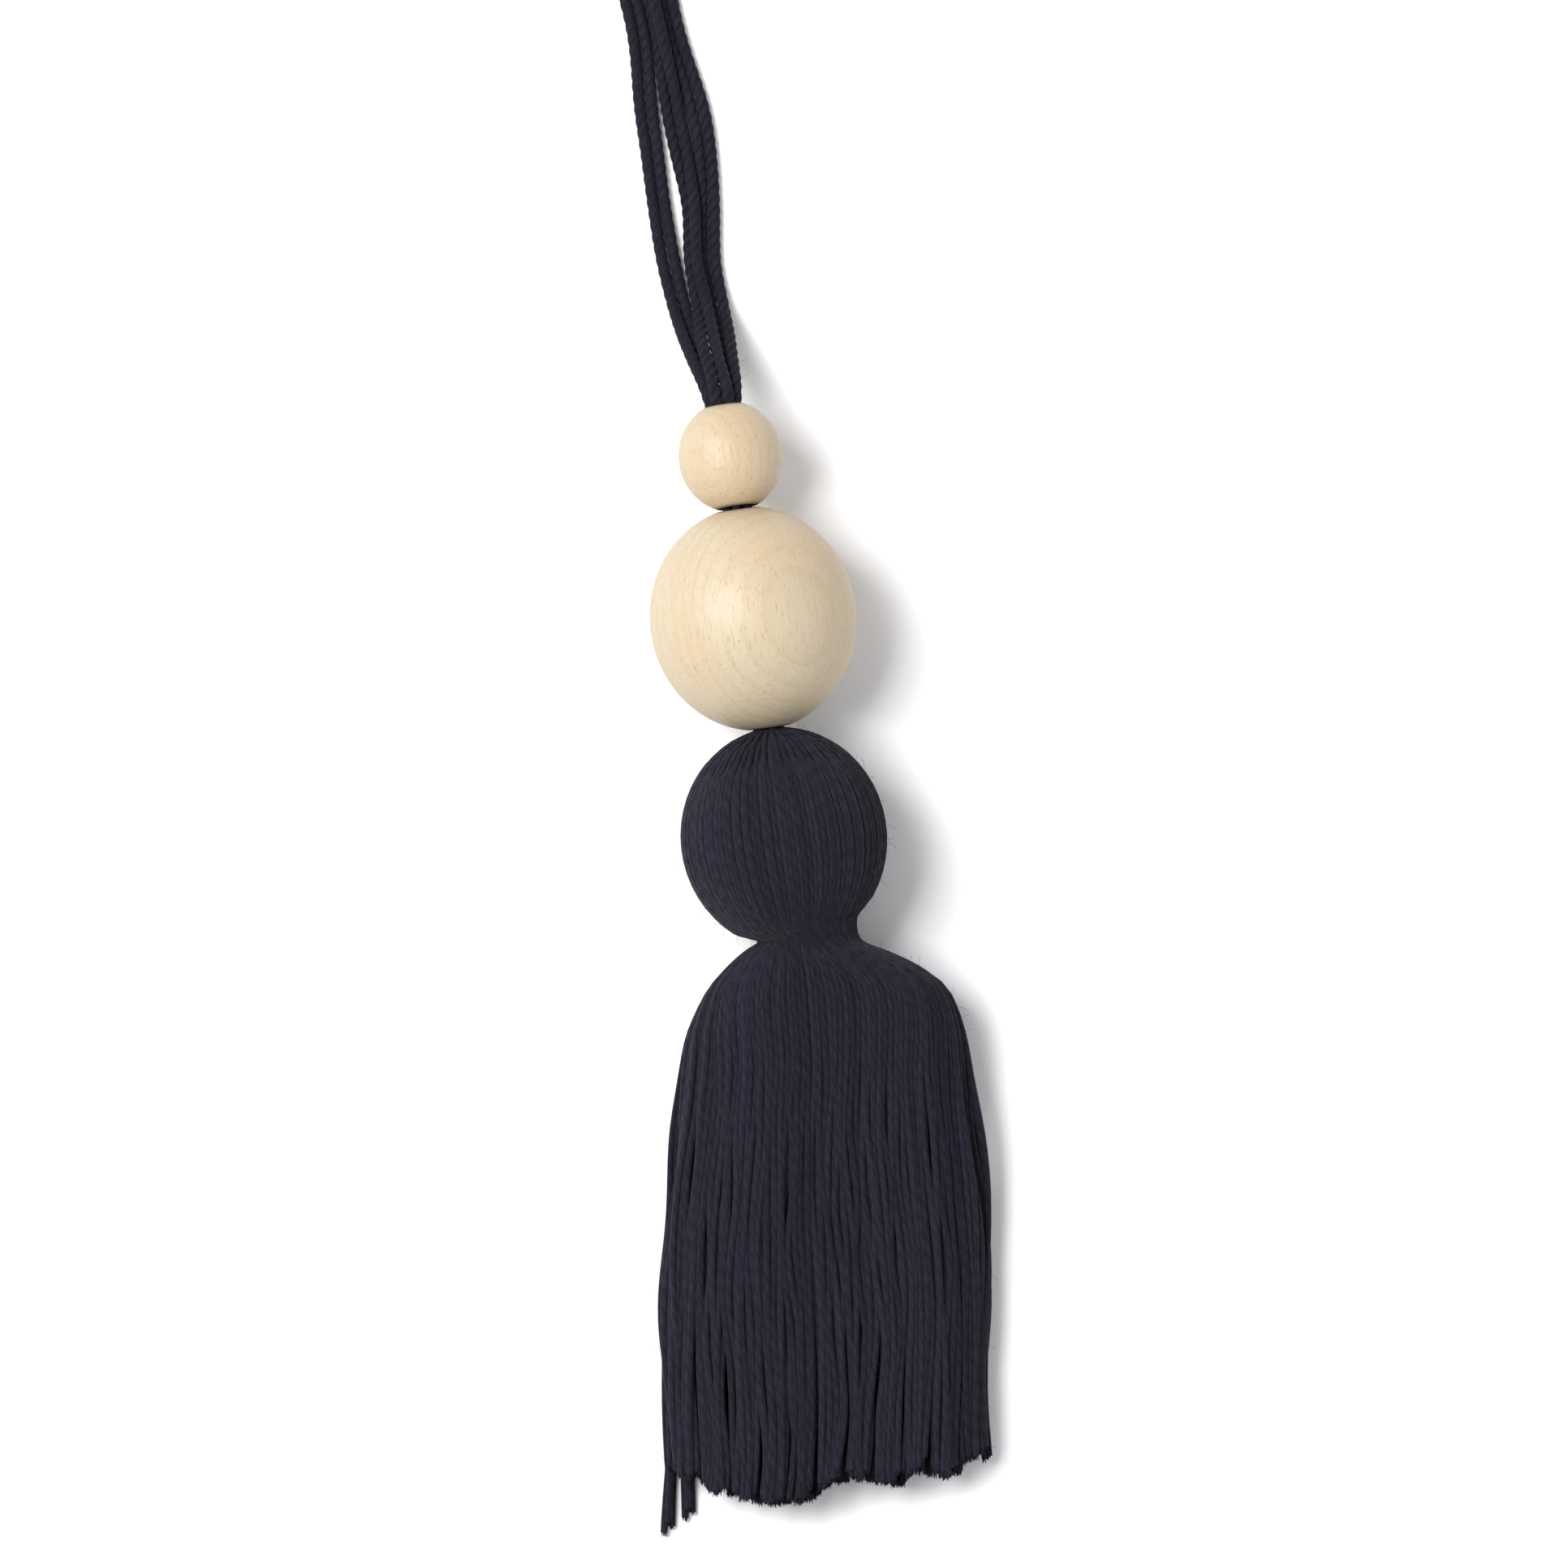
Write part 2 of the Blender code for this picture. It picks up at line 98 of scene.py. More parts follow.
class NodeWriter:
    """Adds nodes to a tree and links them in one call."""

    def __init__(self, tree: NodeTree) -> None:
        """Keeps the tree that the nodes go to."""
        self.tree = tree

    def add(self, kind: str, inputs: dict | None = None, **settings: object) -> Node:
        """Adds one node.

        Args:
            kind: the node's type name.
            inputs: socket name or number to a value, or to the socket that feeds it.
            settings: the node's own properties.

        Returns:
            The new node.
        """
        node = self.tree.nodes.new(kind)
        for name, value in settings.items():
            setattr(node, name, value)
        for key, value in (inputs or {}).items():
            socket = node.inputs[key]
            if isinstance(value, NodeSocket):
                self.tree.links.new(value, socket)
            else:
                socket.default_value = value
        return node

    def out(self, kind: str, inputs: dict | None = None, **settings: object) -> NodeSocket:
        """Adds one node, as add does, and returns its first output."""
        return self.add(kind, inputs, **settings).outputs[0]

    def math(self, operation: str, first: object, second: object = 0.0) -> NodeSocket:
        """Adds a Math node and returns its output."""
        return self.out("ShaderNodeMath", {0: first, 1: second}, operation=operation)

    def times(self, first: object, second: object) -> NodeSocket:
        """Multiplies two values."""
        return self.math("MULTIPLY", first, second)

    def plus(self, first: object, second: object) -> NodeSocket:
        """Adds two values."""
        return self.math("ADD", first, second)

    def minus(self, first: object, second: object) -> NodeSocket:
        """Takes the second value from the first."""
        return self.math("SUBTRACT", first, second)

    def vector(self, operation: str, first: object, second: object = (0, 0, 0)) -> NodeSocket:
        """Adds a Vector Math node and returns its vector output."""
        return self.out("ShaderNodeVectorMath", {0: first, 1: second}, operation=operation)

    def split(self, vector: NodeSocket) -> NodeOutputs:
        """Splits a vector and returns the sockets of its three parts."""
        return self.add("ShaderNodeSeparateXYZ", {0: vector}).outputs

    def scaled(self, vector: NodeSocket, factor: NodeSocket) -> NodeSocket:
        """Scales a vector by a value."""
        return self.out("ShaderNodeVectorMath", {0: vector, "Scale": factor}, operation="SCALE")

    def length(self, vector: NodeSocket) -> NodeSocket:
        """Measures a vector."""
        return self.add("ShaderNodeVectorMath", {0: vector}, operation="LENGTH").outputs[1]

    def attribute(self, name: str, output: str = "Fac") -> NodeSocket:
        """Reads one of the mesh's own attributes in a shader."""
        return self.add("ShaderNodeAttribute", attribute_name=name).outputs[output]

    def ramp(self, value: object, low: float, high: float, out: float = 0.0,
             to: float = 1.0) -> NodeSocket:
        """Adds a Map Range node.

        Args:
            value: the socket to map.
            low: the value that gives out.
            high: the value that gives to.
            out: the result at low.
            to: the result at high.

        Returns:
            The mapped value's socket.
        """
        return self.out("ShaderNodeMapRange", {"Value": value, "From Min": low, "From Max": high,
                                               "To Min": out, "To Max": to})

    def mix(self, share: object, base: NodeSocket, over: NodeSocket) -> NodeSocket:
        """Mixes one colour over another by a share, and returns the result's socket."""
        made = self.add("ShaderNodeMix", {0: share}, data_type="RGBA")
        self.tree.links.new(base, made.inputs[6])
        self.tree.links.new(over, made.inputs[7])
        return made.outputs[2]

    def noise(self, place: NodeSocket, stretch: tuple, detail: float) -> NodeSocket:
        """Adds a noise texture.

        Args:
            place: the point's own coordinates.
            stretch: what the coordinates are multiplied by.
            detail: the noise's detail.

        Returns:
            The noise's value socket.
        """
        stretched = self.vector("MULTIPLY", place, stretch)
        return self.out("ShaderNodeTexNoise", {"Vector": stretched, "Scale": 1.0, "Detail": detail,
                                               "Roughness": 0.6})

    def link(self, source: NodeSocket, target: NodeSocket) -> None:
        """Links two sockets."""
        self.tree.links.new(source, target)


def node_group(name: str, kind: str, inputs: dict,
               outputs: dict) -> tuple[NodeWriter, NodeOutputs, NodeInputs]:
    """Makes an empty node group with named sockets.

    Args:
        name: the group's name.
        kind: ShaderNodeTree or GeometryNodeTree.
        inputs: socket name to its socket type and default value.
        outputs: socket name to its socket type.

    Returns:
        The group's writer, the sockets that it is given and those of its result, by name.
    """
    tree = bpy.data.node_groups.new(name, kind)
    for label, (socket_type, value) in inputs.items():
        socket = tree.interface.new_socket(label, in_out="INPUT", socket_type=socket_type)
        if value is not None:
            socket.default_value = value
    for label, socket_type in outputs.items():
        tree.interface.new_socket(label, in_out="OUTPUT", socket_type=socket_type)
    writer = NodeWriter(tree)
    given, result = writer.add("NodeGroupInput"), writer.add("NodeGroupOutput")
    return writer, given.outputs, result.inputs


def put_in_scene(name: str, data: ID) -> Object:
    """Makes an object from a mesh, a light or a camera, and puts it in the scene."""
    made = bpy.data.objects.new(name, data)
    bpy.context.scene.collection.objects.link(made)
    return made


def apply_tree(source: Object, tree: NodeTree, values: dict, name: str) -> Object:
    """Runs a Geometry Nodes tree on an object and keeps the result as a plain mesh.

    Args:
        source: the object that goes in. It is removed if the result takes its place.
        tree: the Geometry Nodes tree.
        values: the tree's input name to value.
        name: the new piece's name.

    Returns:
        The new piece, at the origin.
    """
    modifier = source.modifiers.new("made", "NODES")
    modifier.node_group = tree
    for item in tree.interface.items_tree:
        if item.item_type == "SOCKET" and item.in_out == "INPUT" and item.name in values:
            modifier[item.identifier] = values[item.name]
    graph = bpy.context.evaluated_depsgraph_get()
    mesh = bpy.data.meshes.new_from_object(source.evaluated_get(graph),
                                           preserve_all_data_layers=True, depsgraph=graph)
    mesh.name = name
    source.modifiers.remove(modifier)
    return put_in_scene(name, mesh)


def yarn_tree() -> NodeTree:
    """Builds the tree that turns rows of points into yarn.

    Returns:
        A Geometry Nodes tree. Each row of edges becomes one tube with closed ends, as thick as
        its points say, with lobes that wind along it.
    """
    writer, given, result = node_group(
        "yarn_along_lines", "GeometryNodeTree",
        {"Lines": ("NodeSocketGeometry", None),
         "Sides": ("NodeSocketInt", 8),
         "Lobes": ("NodeSocketInt", 0),
         "Lobe Depth": ("NodeSocketFloat", 0.0),
         "Turns per Metre": ("NodeSocketFloat", 0.0),
         "Finish": ("NodeSocketMaterial", None)},
        {"Yarn": "NodeSocketGeometry"})
    lines = writer.out("GeometryNodeMeshToCurve", {"Mesh": given["Lines"]})
    length = writer.add("GeometryNodeSplineParameter").outputs["Length"]
    lines = writer.out("GeometryNodeStoreNamedAttribute",
                       {"Geometry": lines, "Name": "along", "Value": length},
                       data_type="FLOAT", domain="POINT")
    winding = writer.times(writer.times(length, math.tau), given["Turns per Metre"])
    lines = writer.out("GeometryNodeSetCurveTilt", {"Curve": lines, "Tilt": winding})

    circle = writer.out("GeometryNodeCurvePrimitiveCircle",
                        {"Resolution": given["Sides"], "Radius": 1.0})
    place = writer.out("GeometryNodeInputPosition")
    circle = writer.out("GeometryNodeStoreNamedAttribute",
                        {"Geometry": circle, "Name": "around", "Value": place},
                        data_type="FLOAT_VECTOR", domain="POINT")
    x, y, _ = writer.split(place)
    angle = writer.math("ARCTAN2", y, x)
    wave = writer.math("COSINE", writer.times(angle, given["Lobes"]))
    dip = writer.times(writer.minus(1.0, wave), writer.times(given["Lobe Depth"], 0.5))
    lobed = writer.scaled(place, writer.minus(1.0, dip))
    profile = writer.out("GeometryNodeSetPosition", {"Geometry": circle, "Position": lobed})

    thickness = writer.out("GeometryNodeInputNamedAttribute", {"Name": "thickness"},
                           data_type="FLOAT")
    tubes = writer.out("GeometryNodeCurveToMesh",
                       {"Curve": lines, "Profile Curve": profile, "Fill Caps": True,
                        "Scale": writer.times(thickness, 0.5)})
    tubes = writer.out("GeometryNodeSetShadeSmooth", {"Geometry": tubes})
    tubes = writer.out("GeometryNodeRealizeInstances", {"Geometry": tubes})
    tubes = writer.out("GeometryNodeSetMaterial", {"Geometry": tubes, "Material": given["Finish"]})
    writer.link(tubes, result["Yarn"])
    return writer.tree


def fibre_tree() -> NodeTree:
    """Builds the tree that grows stray fibres on yarn.

    Returns:
        A Geometry Nodes tree. It puts short bent fibres on the faces, at random, but for those
        that are too near the table or that face down.
    """
    writer, given, result = node_group(
        "stray_fibres", "GeometryNodeTree",
        {"Yarn": ("NodeSocketGeometry", None),
         "Fibres per Square Metre": ("NodeSocketFloat", 100000.0),
         "Length": ("NodeSocketFloat", 0.0015),
         "Thickness": ("NodeSocketFloat", 0.00004),
         "Lowest Point": ("NodeSocketFloat", 0.001),
         "Seed": ("NodeSocketInt", 1),
         "Finish": ("NodeSocketMaterial", None)},
        {"Fibres": "NodeSocketGeometry"})
    height = writer.split(writer.out("GeometryNodeInputPosition"))[2]
    high = writer.math("GREATER_THAN", height, given["Lowest Point"])
    slope = writer.split(writer.out("GeometryNodeInputNormal"))[2]
    chosen = writer.times(high, writer.math("GREATER_THAN", slope, FIBRE_SLOPE))
    spots = writer.add("GeometryNodeDistributePointsOnFaces",
                       {"Mesh": given["Yarn"], "Selection": chosen,
                        "Density": given["Fibres per Square Metre"],
                        "Seed": given["Seed"]}, distribute_method="RANDOM")
    bend = writer.out("GeometryNodeCurveQuadraticBezier",
                      {"Resolution": 4, "Start": FIBRE_BEND[0], "Middle": FIBRE_BEND[1],
                       "End": FIBRE_BEND[2]})
    bend = writer.out("GeometryNodeTransform", {
        "Geometry": bend, "Scale": writer.out("ShaderNodeCombineXYZ", {
            0: given["Length"], 1: given["Length"], 2: given["Length"]})})
    section = writer.out("GeometryNodeCurvePrimitiveCircle", {
        "Resolution": 3, "Radius": writer.times(given["Thickness"], 0.5)})
    fibre = writer.out("GeometryNodeCurveToMesh", {"Curve": bend, "Profile Curve": section,
                                                   "Fill Caps": True})
    turn = writer.out("FunctionNodeRandomValue",
                      {0: (-FIBRE_LEAN, -FIBRE_LEAN, -math.pi),
                       1: (FIBRE_LEAN, FIBRE_LEAN, math.pi), "Seed": 3},
                      data_type="FLOAT_VECTOR")
    turned = writer.out("FunctionNodeRotateRotation",
                        {"Rotation": spots.outputs["Rotation"],
                         "Rotate By": writer.out("FunctionNodeEulerToRotation", {0: turn})},
                        rotation_space="LOCAL")
    size = writer.add("FunctionNodeRandomValue", {2: SHORTEST_FIBRE, 3: 1.0, "Seed": 5},
                      data_type="FLOAT").outputs[1]
    fibres = writer.out("GeometryNodeInstanceOnPoints",
                        {"Points": spots.outputs["Points"], "Instance": fibre,
                         "Rotation": turned, "Scale": size})
    fibres = writer.out("GeometryNodeRealizeInstances", {"Geometry": fibres})
    fibres = writer.out("GeometryNodeSetMaterial",
                        {"Geometry": fibres, "Material": given["Finish"]})
    writer.link(fibres, result["Fibres"])
    return writer.tree


# Shader effects that several materials share


def yarn_effect() -> NodeTree:
    """Builds the look of spun yarn: its plies, its fibres and each strand's own shade, with
    painted shade in the grooves between its plies and a painted highlight on the fibres of the
    plies' crowns.

    Returns:
        A group that reads the attributes around, along and tone of a strand's mesh.
    """
    writer, given, result = node_group(
        "spun_yarn", "ShaderNodeTree",
        {"Colour": ("NodeSocketColor", (0.5, 0.5, 0.5, 1)),
         "Painted Highlight Colour": ("NodeSocketColor", (0.5, 0.5, 0.5, 1)),
         "Plies": ("NodeSocketFloat", 2.0),
         "Turns per Metre": ("NodeSocketFloat", 250.0),
         "Groove Painted Shade": ("NodeSocketFloat", 0.5),
         "Shade Range": ("NodeSocketFloat", 0.4)},
        {"Colour": "NodeSocketColor", "Roughness": "NodeSocketFloat",
         "Height": "NodeSocketFloat"})
    along = writer.attribute("along")
    tone = writer.attribute("tone")
    x, y, _ = writer.split(writer.attribute("around", "Vector"))
    angle = writer.math("ARCTAN2", y, x)
    turns = writer.times(along, given["Turns per Metre"])
    own_start = writer.times(tone, STRAND_SHIFT)
    twisted = writer.plus(angle, writer.times(turns, math.tau))
    half_plies = writer.times(given["Plies"], 0.5)
    winding = writer.plus(writer.times(twisted, half_plies), own_start)
    ply = writer.math("ABSOLUTE", writer.math("COSINE", winding))
    ply_round = writer.math("POWER", ply, PLY_ROUNDNESS)

    lengthways = writer.plus(writer.times(along, FIBRES_PER_METRE), own_start)
    place = writer.out("ShaderNodeCombineXYZ", {0: x, 1: y, 2: lengthways})
    fibres = writer.noise(place, FIBRE_STRETCH, 4.0)
    # Painted highlight: the fibre pattern is painted lighter on the crowns of the plies, where
    # light falls on them.
    lit = writer.times(writer.ramp(fibres, 0.5, 0.78), ply_round)

    palest = writer.plus(1.0, given["Shade Range"])
    darkest = writer.minus(1.0, given["Shade Range"])
    shade = writer.ramp(tone, 0.0, 1.0, darkest, palest)
    # Painted shade: the colour is made darker in the grooves between the plies, and the strand's
    # dye colour below carries this shade.
    painted_shade_in_groove = writer.minus(1.0, given["Groove Painted Shade"])
    groove = writer.ramp(ply_round, 0.0, 1.0, painted_shade_in_groove, 1.0)
    dye_and_groove_shade = writer.scaled(given["Colour"], writer.times(shade, groove))
    colour = writer.mix(writer.times(lit, PAINTED_HIGHLIGHT_SHARE), dye_and_groove_shade, given["Painted Highlight Colour"])
    writer.link(colour, result["Colour"])
    writer.link(writer.ramp(fibres, 0.3, 0.75, 0.95, 0.72), result["Roughness"])
    height = writer.plus(writer.times(ply_round, 0.75), writer.times(fibres, 0.35))
    writer.link(height, result["Height"])
    return writer.tree


def wood_effect() -> NodeTree:
    """Builds the look of pale sanded wood, with its grain along the group's Z, and painted shade
    round the rim of its hole.

    Returns:
        A group that takes the place in the wood, in metres, with the bead's hole along Z.
    """
    writer, given, result = node_group(
        "sanded_wood", "ShaderNodeTree",
        {"Place": ("NodeSocketVector", None),
         "Pale Colour": ("NodeSocketColor", (0.7, 0.5, 0.3, 1)),
         "Ring Colour": ("NodeSocketColor", (0.5, 0.3, 0.2, 1)),
         "Blush Colour": ("NodeSocketColor", (0.7, 0.4, 0.2, 1)),
         "Pore Colour": ("NodeSocketColor", (0.3, 0.2, 0.1, 1)),
         "Rim Painted Shade Colour": ("NodeSocketColor", (0.2, 0.1, 0.05, 1)),
         "Ring Gap": ("NodeSocketFloat", 0.0016),
         "Pith Place": ("NodeSocketVector", (0.03, 0.01, 0)),
         "Hole Radius": ("NodeSocketFloat", 0.0023),
         "Blush": ("NodeSocketFloat", 0.3)},
        {"Colour": "NodeSocketColor", "Roughness": "NodeSocketFloat",
         "Height": "NodeSocketFloat"})
    place = given["Place"]
    wander = writer.noise(place, WANDER_STRETCH, 2.0)
    off_pith = writer.vector("SUBTRACT", place, given["Pith Place"])
    from_pith = writer.length(writer.vector("MULTIPLY", off_pith, RING_STRETCH))
    rings = writer.plus(writer.math("DIVIDE", from_pith, given["Ring Gap"]),
                        writer.times(wander, RING_WANDER))
    within_ring = writer.math("FRACT", rings)
    rising = writer.ramp(within_ring, 0.25, 0.9)
    falling = writer.ramp(within_ring, 0.92, 1.0, 1.0, 0.0)
    late_wood = writer.times(writer.math("POWER", rising, LATE_WOOD_SHARPNESS), falling)
    streaks = writer.noise(place, STREAK_STRETCH, 3.0)
    pores = writer.ramp(writer.noise(place, PORE_STRETCH, 1.0), 0.62, 0.70)
    cloud = writer.ramp(writer.noise(place, CLOUD_STRETCH, 1.5), 0.42, 0.72)

    colour = writer.mix(writer.times(late_wood, 0.3), given["Pale Colour"], given["Ring Colour"])
    colour = writer.mix(writer.ramp(streaks, 0.4, 0.75, 0.0, 0.3), colour, given["Ring Colour"])
    colour = writer.mix(writer.times(cloud, given["Blush"]), colour, given["Blush Colour"])
    colour = writer.mix(writer.times(pores, 0.3), colour, given["Pore Colour"])
    # Painted shade: the wood is darkened next to the hole's rim, where the beads meet and shade
    # falls.
    across = writer.length(writer.vector("MULTIPLY", place, (1, 1, 0)))
    rim = writer.ramp(writer.minus(across, given["Hole Radius"]), RIM_SHADE_REACH, RIM_SHADE_FULL)
    colour = writer.mix(writer.times(rim, RIM_SHADE_SHARE), colour, given["Rim Painted Shade Colour"])
    writer.link(colour, result["Colour"])

    rough = writer.plus(writer.times(late_wood, -0.06), writer.ramp(streaks, 0.0, 1.0, 0.42, 0.6))
    writer.link(rough, result["Roughness"])
    height = writer.minus(writer.times(streaks, 0.5), writer.times(pores, 0.9))
    height = writer.plus(height, writer.times(late_wood, 0.35))
    writer.link(height, result["Height"])
    return writer.tree


# Finishes


def new_material(name: str, **settings: object) -> tuple[Material, NodeWriter, Node]:
    """Makes a material with constants set on its shader's own sockets.

    Args:
        name: its name.
        settings: the shader's inputs, with underscores for spaces.

    Returns:
        The material, its tree's writer and its shader.
    """
    material = bpy.data.materials.new(name)
    material.use_nodes = True
    shader = material.node_tree.nodes["Principled BSDF"]
    for label, value in settings.items():
        shader.inputs[label.replace("_", " ")].default_value = value
    return material, NodeWriter(material.node_tree), shader


def tie_effect(writer: NodeWriter, effect: Node, shader: Node, strength: float,
               distance: float) -> None:
    """Feeds a shader the colour, the roughness and, as bump, the height of an effect.

    Args:
        writer: the material's writer.
        effect: the node of the effect's group.
        shader: the material's shader.
        strength: the bump's strength.
        distance: the bump's greatest height.
    """
    bump = writer.out("ShaderNodeBump", {"Strength": strength, "Distance": distance,
                                         "Height": effect.outputs["Height"]})
    writer.link(effect.outputs["Colour"], shader.inputs["Base Color"])
    writer.link(effect.outputs["Roughness"], shader.inputs["Roughness"])
    writer.link(bump, shader.inputs["Normal"])


@dataclass(frozen=True)
class YarnFinish:
    """Matt cotton yarn, blue black from its dye, with painted shade in the grooves between its
    plies and a painted highlight on their crowns.
    """

    name: str
    colour: Colour = (0.0105, 0.0105, 0.0195)
    # Colour of the painted highlight on the plies' crowns
    painted_highlight_colour: Colour = (0.034, 0.034, 0.052)
    plies: float = 2.0
    turns_per_metre: float = 230.0
    # Painted shade in the grooves between the plies
    groove_painted_shade: float = 0.4
    shade_range: float = 0.3
    bump_height: float = 0.11 * MM
    bump_strength: float = 0.8
    sheen: float = 0.05
    sheen_roughness: float = 0.45
    specular: float = 0.16

    def material(self, effect: NodeTree) -> Material:
        """Makes the material.

        Args:
            effect: the group from yarn_effect.

        Returns:
            The new material.
        """
        material, writer, shader = new_material(
            self.name, Sheen_Weight=self.sheen, Sheen_Roughness=self.sheen_roughness,
            Specular_IOR_Level=self.specular)
        yarn = writer.add("ShaderNodeGroup", {
            "Colour": (*self.colour, 1), "Painted Highlight Colour": (*self.painted_highlight_colour, 1),
            "Plies": self.plies, "Turns per Metre": self.turns_per_metre,
            "Groove Painted Shade": self.groove_painted_shade, "Shade Range": self.shade_range},
            node_tree=effect)
        tie_effect(writer, yarn, shader, self.bump_strength, self.bump_height)
        return material


@dataclass(frozen=True)
class WoodFinish:
    """Pale bare wood, sanded smooth, for one bead, with painted shade round its hole."""

    name: str
    pith_place: tuple[float, float, float]
    ring_gap: float = 1.7 * MM
    blush: float = 0.3
    pale_colour: Colour = (0.54, 0.455, 0.32)
    ring_colour: Colour = (0.46, 0.345, 0.20)
    blush_colour: Colour = (0.54, 0.355, 0.20)
    pore_colour: Colour = (0.31, 0.20, 0.10)
    # Colour of the painted shade round the hole's rim
    rim_painted_shade_colour: Colour = (0.17, 0.095, 0.045)
    bump_height: float = 0.05 * MM
    bump_strength: float = 0.55
    specular: float = 0.5

    def material(self, effect: NodeTree, centre: Vector, axis: Vector,
                 hole_radius: float) -> Material:
        """Makes the material, its grain along the bead's hole.

        Args:
            effect: the group from wood_effect.
            centre: the bead's centre.
            axis: the direction of its hole.
            hole_radius: the hole's radius.

        Returns:
            The new material.
        """
        material, writer, shader = new_material(self.name, Specular_IOR_Level=self.specular)
        to_hole = axis.rotation_difference(UP)
        turned = writer.out("ShaderNodeMapping", {
            "Vector": writer.add("ShaderNodeTexCoord").outputs["Object"],
            "Location": tuple(-(to_hole @ centre)), "Rotation": tuple(to_hole.to_euler())})
        wood = writer.add("ShaderNodeGroup", {
            "Place": turned, "Pale Colour": (*self.pale_colour, 1),
            "Ring Colour": (*self.ring_colour, 1), "Blush Colour": (*self.blush_colour, 1),
            "Pore Colour": (*self.pore_colour, 1), "Rim Painted Shade Colour": (*self.rim_painted_shade_colour, 1),
            "Ring Gap": self.ring_gap, "Pith Place": self.pith_place,
            "Hole Radius": hole_radius, "Blush": self.blush}, node_tree=effect)
        tie_effect(writer, wood, shader, self.bump_strength, self.bump_height)
        return material


@dataclass(frozen=True)
class FloorFinish:
    """Plain pale paper."""

    name: str = "pale_paper"
    colour: Colour = (0.93, 0.93, 0.935)
    roughness: float = 0.9

    def material(self) -> Material:
        """Makes the material."""
        return new_material(self.name, Base_Color=(*self.colour, 1), Roughness=self.roughness)[0]


# Shapes that several pieces share


def read_table(rows: tuple, columns: tuple, at: float, unit: float = MM) -> dict[str, float]:
    """Reads a table on a smooth curve through its rows.

    Args:
        rows: the table, its first column rising or falling.
        columns: the columns' names.
        at: a station of the first column, in metres.
        unit: what the table's numbers are multiplied by.

    Returns:
        Column name to its value there.
    """
    stations = [row[0] * unit for row in rows]
    rising = stations[-1] > stations[0]
    last = len(rows) - 2
    low = 0
    while low < last and (at > stations[low + 1] if rising else at < stations[low + 1]):
        low += 1
    span = stations[low + 1] - stations[low]
    share = min(1, max(0, (at - stations[low]) / span))
    found = {columns[0]: at}
    for column, name in enumerate(columns[1:], start=1):
        here, there = rows[low][column], rows[low + 1][column]
        slopes = []
        for row in (low, low + 1):
            before, after = max(0, row - 1), min(len(rows) - 1, row + 1)
            rise = rows[after][column] - rows[before][column]
            slopes.append(rise / (stations[after] - stations[before]) * span)
        cube, square = share ** 3, share ** 2
        value = ((2 * cube - 3 * square + 1) * here + (cube - 2 * square + share) * slopes[0]
                 + (3 * square - 2 * cube) * there + (cube - square) * slopes[1])
        found[name] = value * unit
    return found


def clamp(value: float, low: float = 0) -> float:
    """Keeps a value between a low limit and 1."""
    return min(1, max(low, value))


def smooth_step(value: float) -> float:
    """Eases a share from 0 to 1, with level ends."""
    share = clamp(value)
    return share * share * (3 - 2 * share)


class YarnLines:
    """Rows of points that each become one strand of yarn."""

    def __init__(self) -> None:
        """Starts with no rows."""
        self.points: list[Vector] = []
        self.edges: list[tuple[int, int]] = []
        self.thickness: list[float] = []
        self.tone: list[float] = []

    def add(self, line: list[Vector], thickness: list[float], tone: float) -> None:
        """Adds a row.

        Args:
            line: its points.
            thickness: the strand's thickness at each point.
            tone: its own shade, from 0 to 1.
        """
        first = len(self.points)
        self.points += line
        self.edges += [(first + i, first + i + 1) for i in range(len(line) - 1)]
        self.thickness += thickness
        self.tone += [tone] * len(line)

    def yarn(self, name: str, tree: NodeTree, **values: object) -> Object:
        """Makes the rows into yarn.

        Args:
            name: the piece's name.
            tree: the tree from yarn_tree.
            values: the tree's inputs, with underscores for spaces.

        Returns:
            The piece.
        """
        mesh = bpy.data.meshes.new(f"{name}_lines")
        mesh.from_pydata(self.points, self.edges, [])
        for label, column in (("thickness", self.thickness), ("tone", self.tone)):
            attribute = mesh.attributes.new(label, "FLOAT", "POINT")
            attribute.data.foreach_set("value", column)
        source = put_in_scene(f"{name}_lines", mesh)
        inputs = {label.replace("_", " "): value for label, value in values.items()}
        piece = apply_tree(source, tree, inputs, name)
        bpy.data.objects.remove(source)
        return piece


def skin(name: str, rings: list[list[Vector]], joined: bool) -> Mesh:
    """Makes a smooth skin over rings of points.

    Args:
        name: the mesh's name.
        rings: closed rows with the same number of points.
        joined: whether the last ring joins the first. If not, both get a flat end.

    Returns:
        The mesh.
    """
    shape = bmesh.new()
    rows = [[shape.verts.new(point) for point in ring] for ring in rings]
    for here, there in zip(rows, rows[1:] + rows[:1] if joined else rows[1:]):
        for i in range(len(here)):
            j = (i + 1) % len(here)
            shape.faces.new((here[i], here[j], there[j], there[i]))
    if not joined:
        shape.faces.new(rows[0])
        shape.faces.new(rows[-1])
    bmesh.ops.recalc_face_normals(shape, faces=shape.faces)
    for face in shape.faces:
        face.smooth = True
    mesh = bpy.data.meshes.new(name)
    shape.to_mesh(mesh)
    shape.free()
    return mesh


def dress(piece: Object, slot: Slot, *nodes: str) -> Object:
    """Ties a finished piece to the frame.

    Args:
        piece: the piece.
        slot: the record's material slot. It is not used.
        nodes: the CAD nodes that it stands for.

    Returns:
        The piece.
    """
    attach(piece, ROOT)
    if nodes:
        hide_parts(*nodes)
    log.info("%s: %d faces", piece.name, len(piece.data.polygons))
    return piece


# Where everything lies, as in the part's source


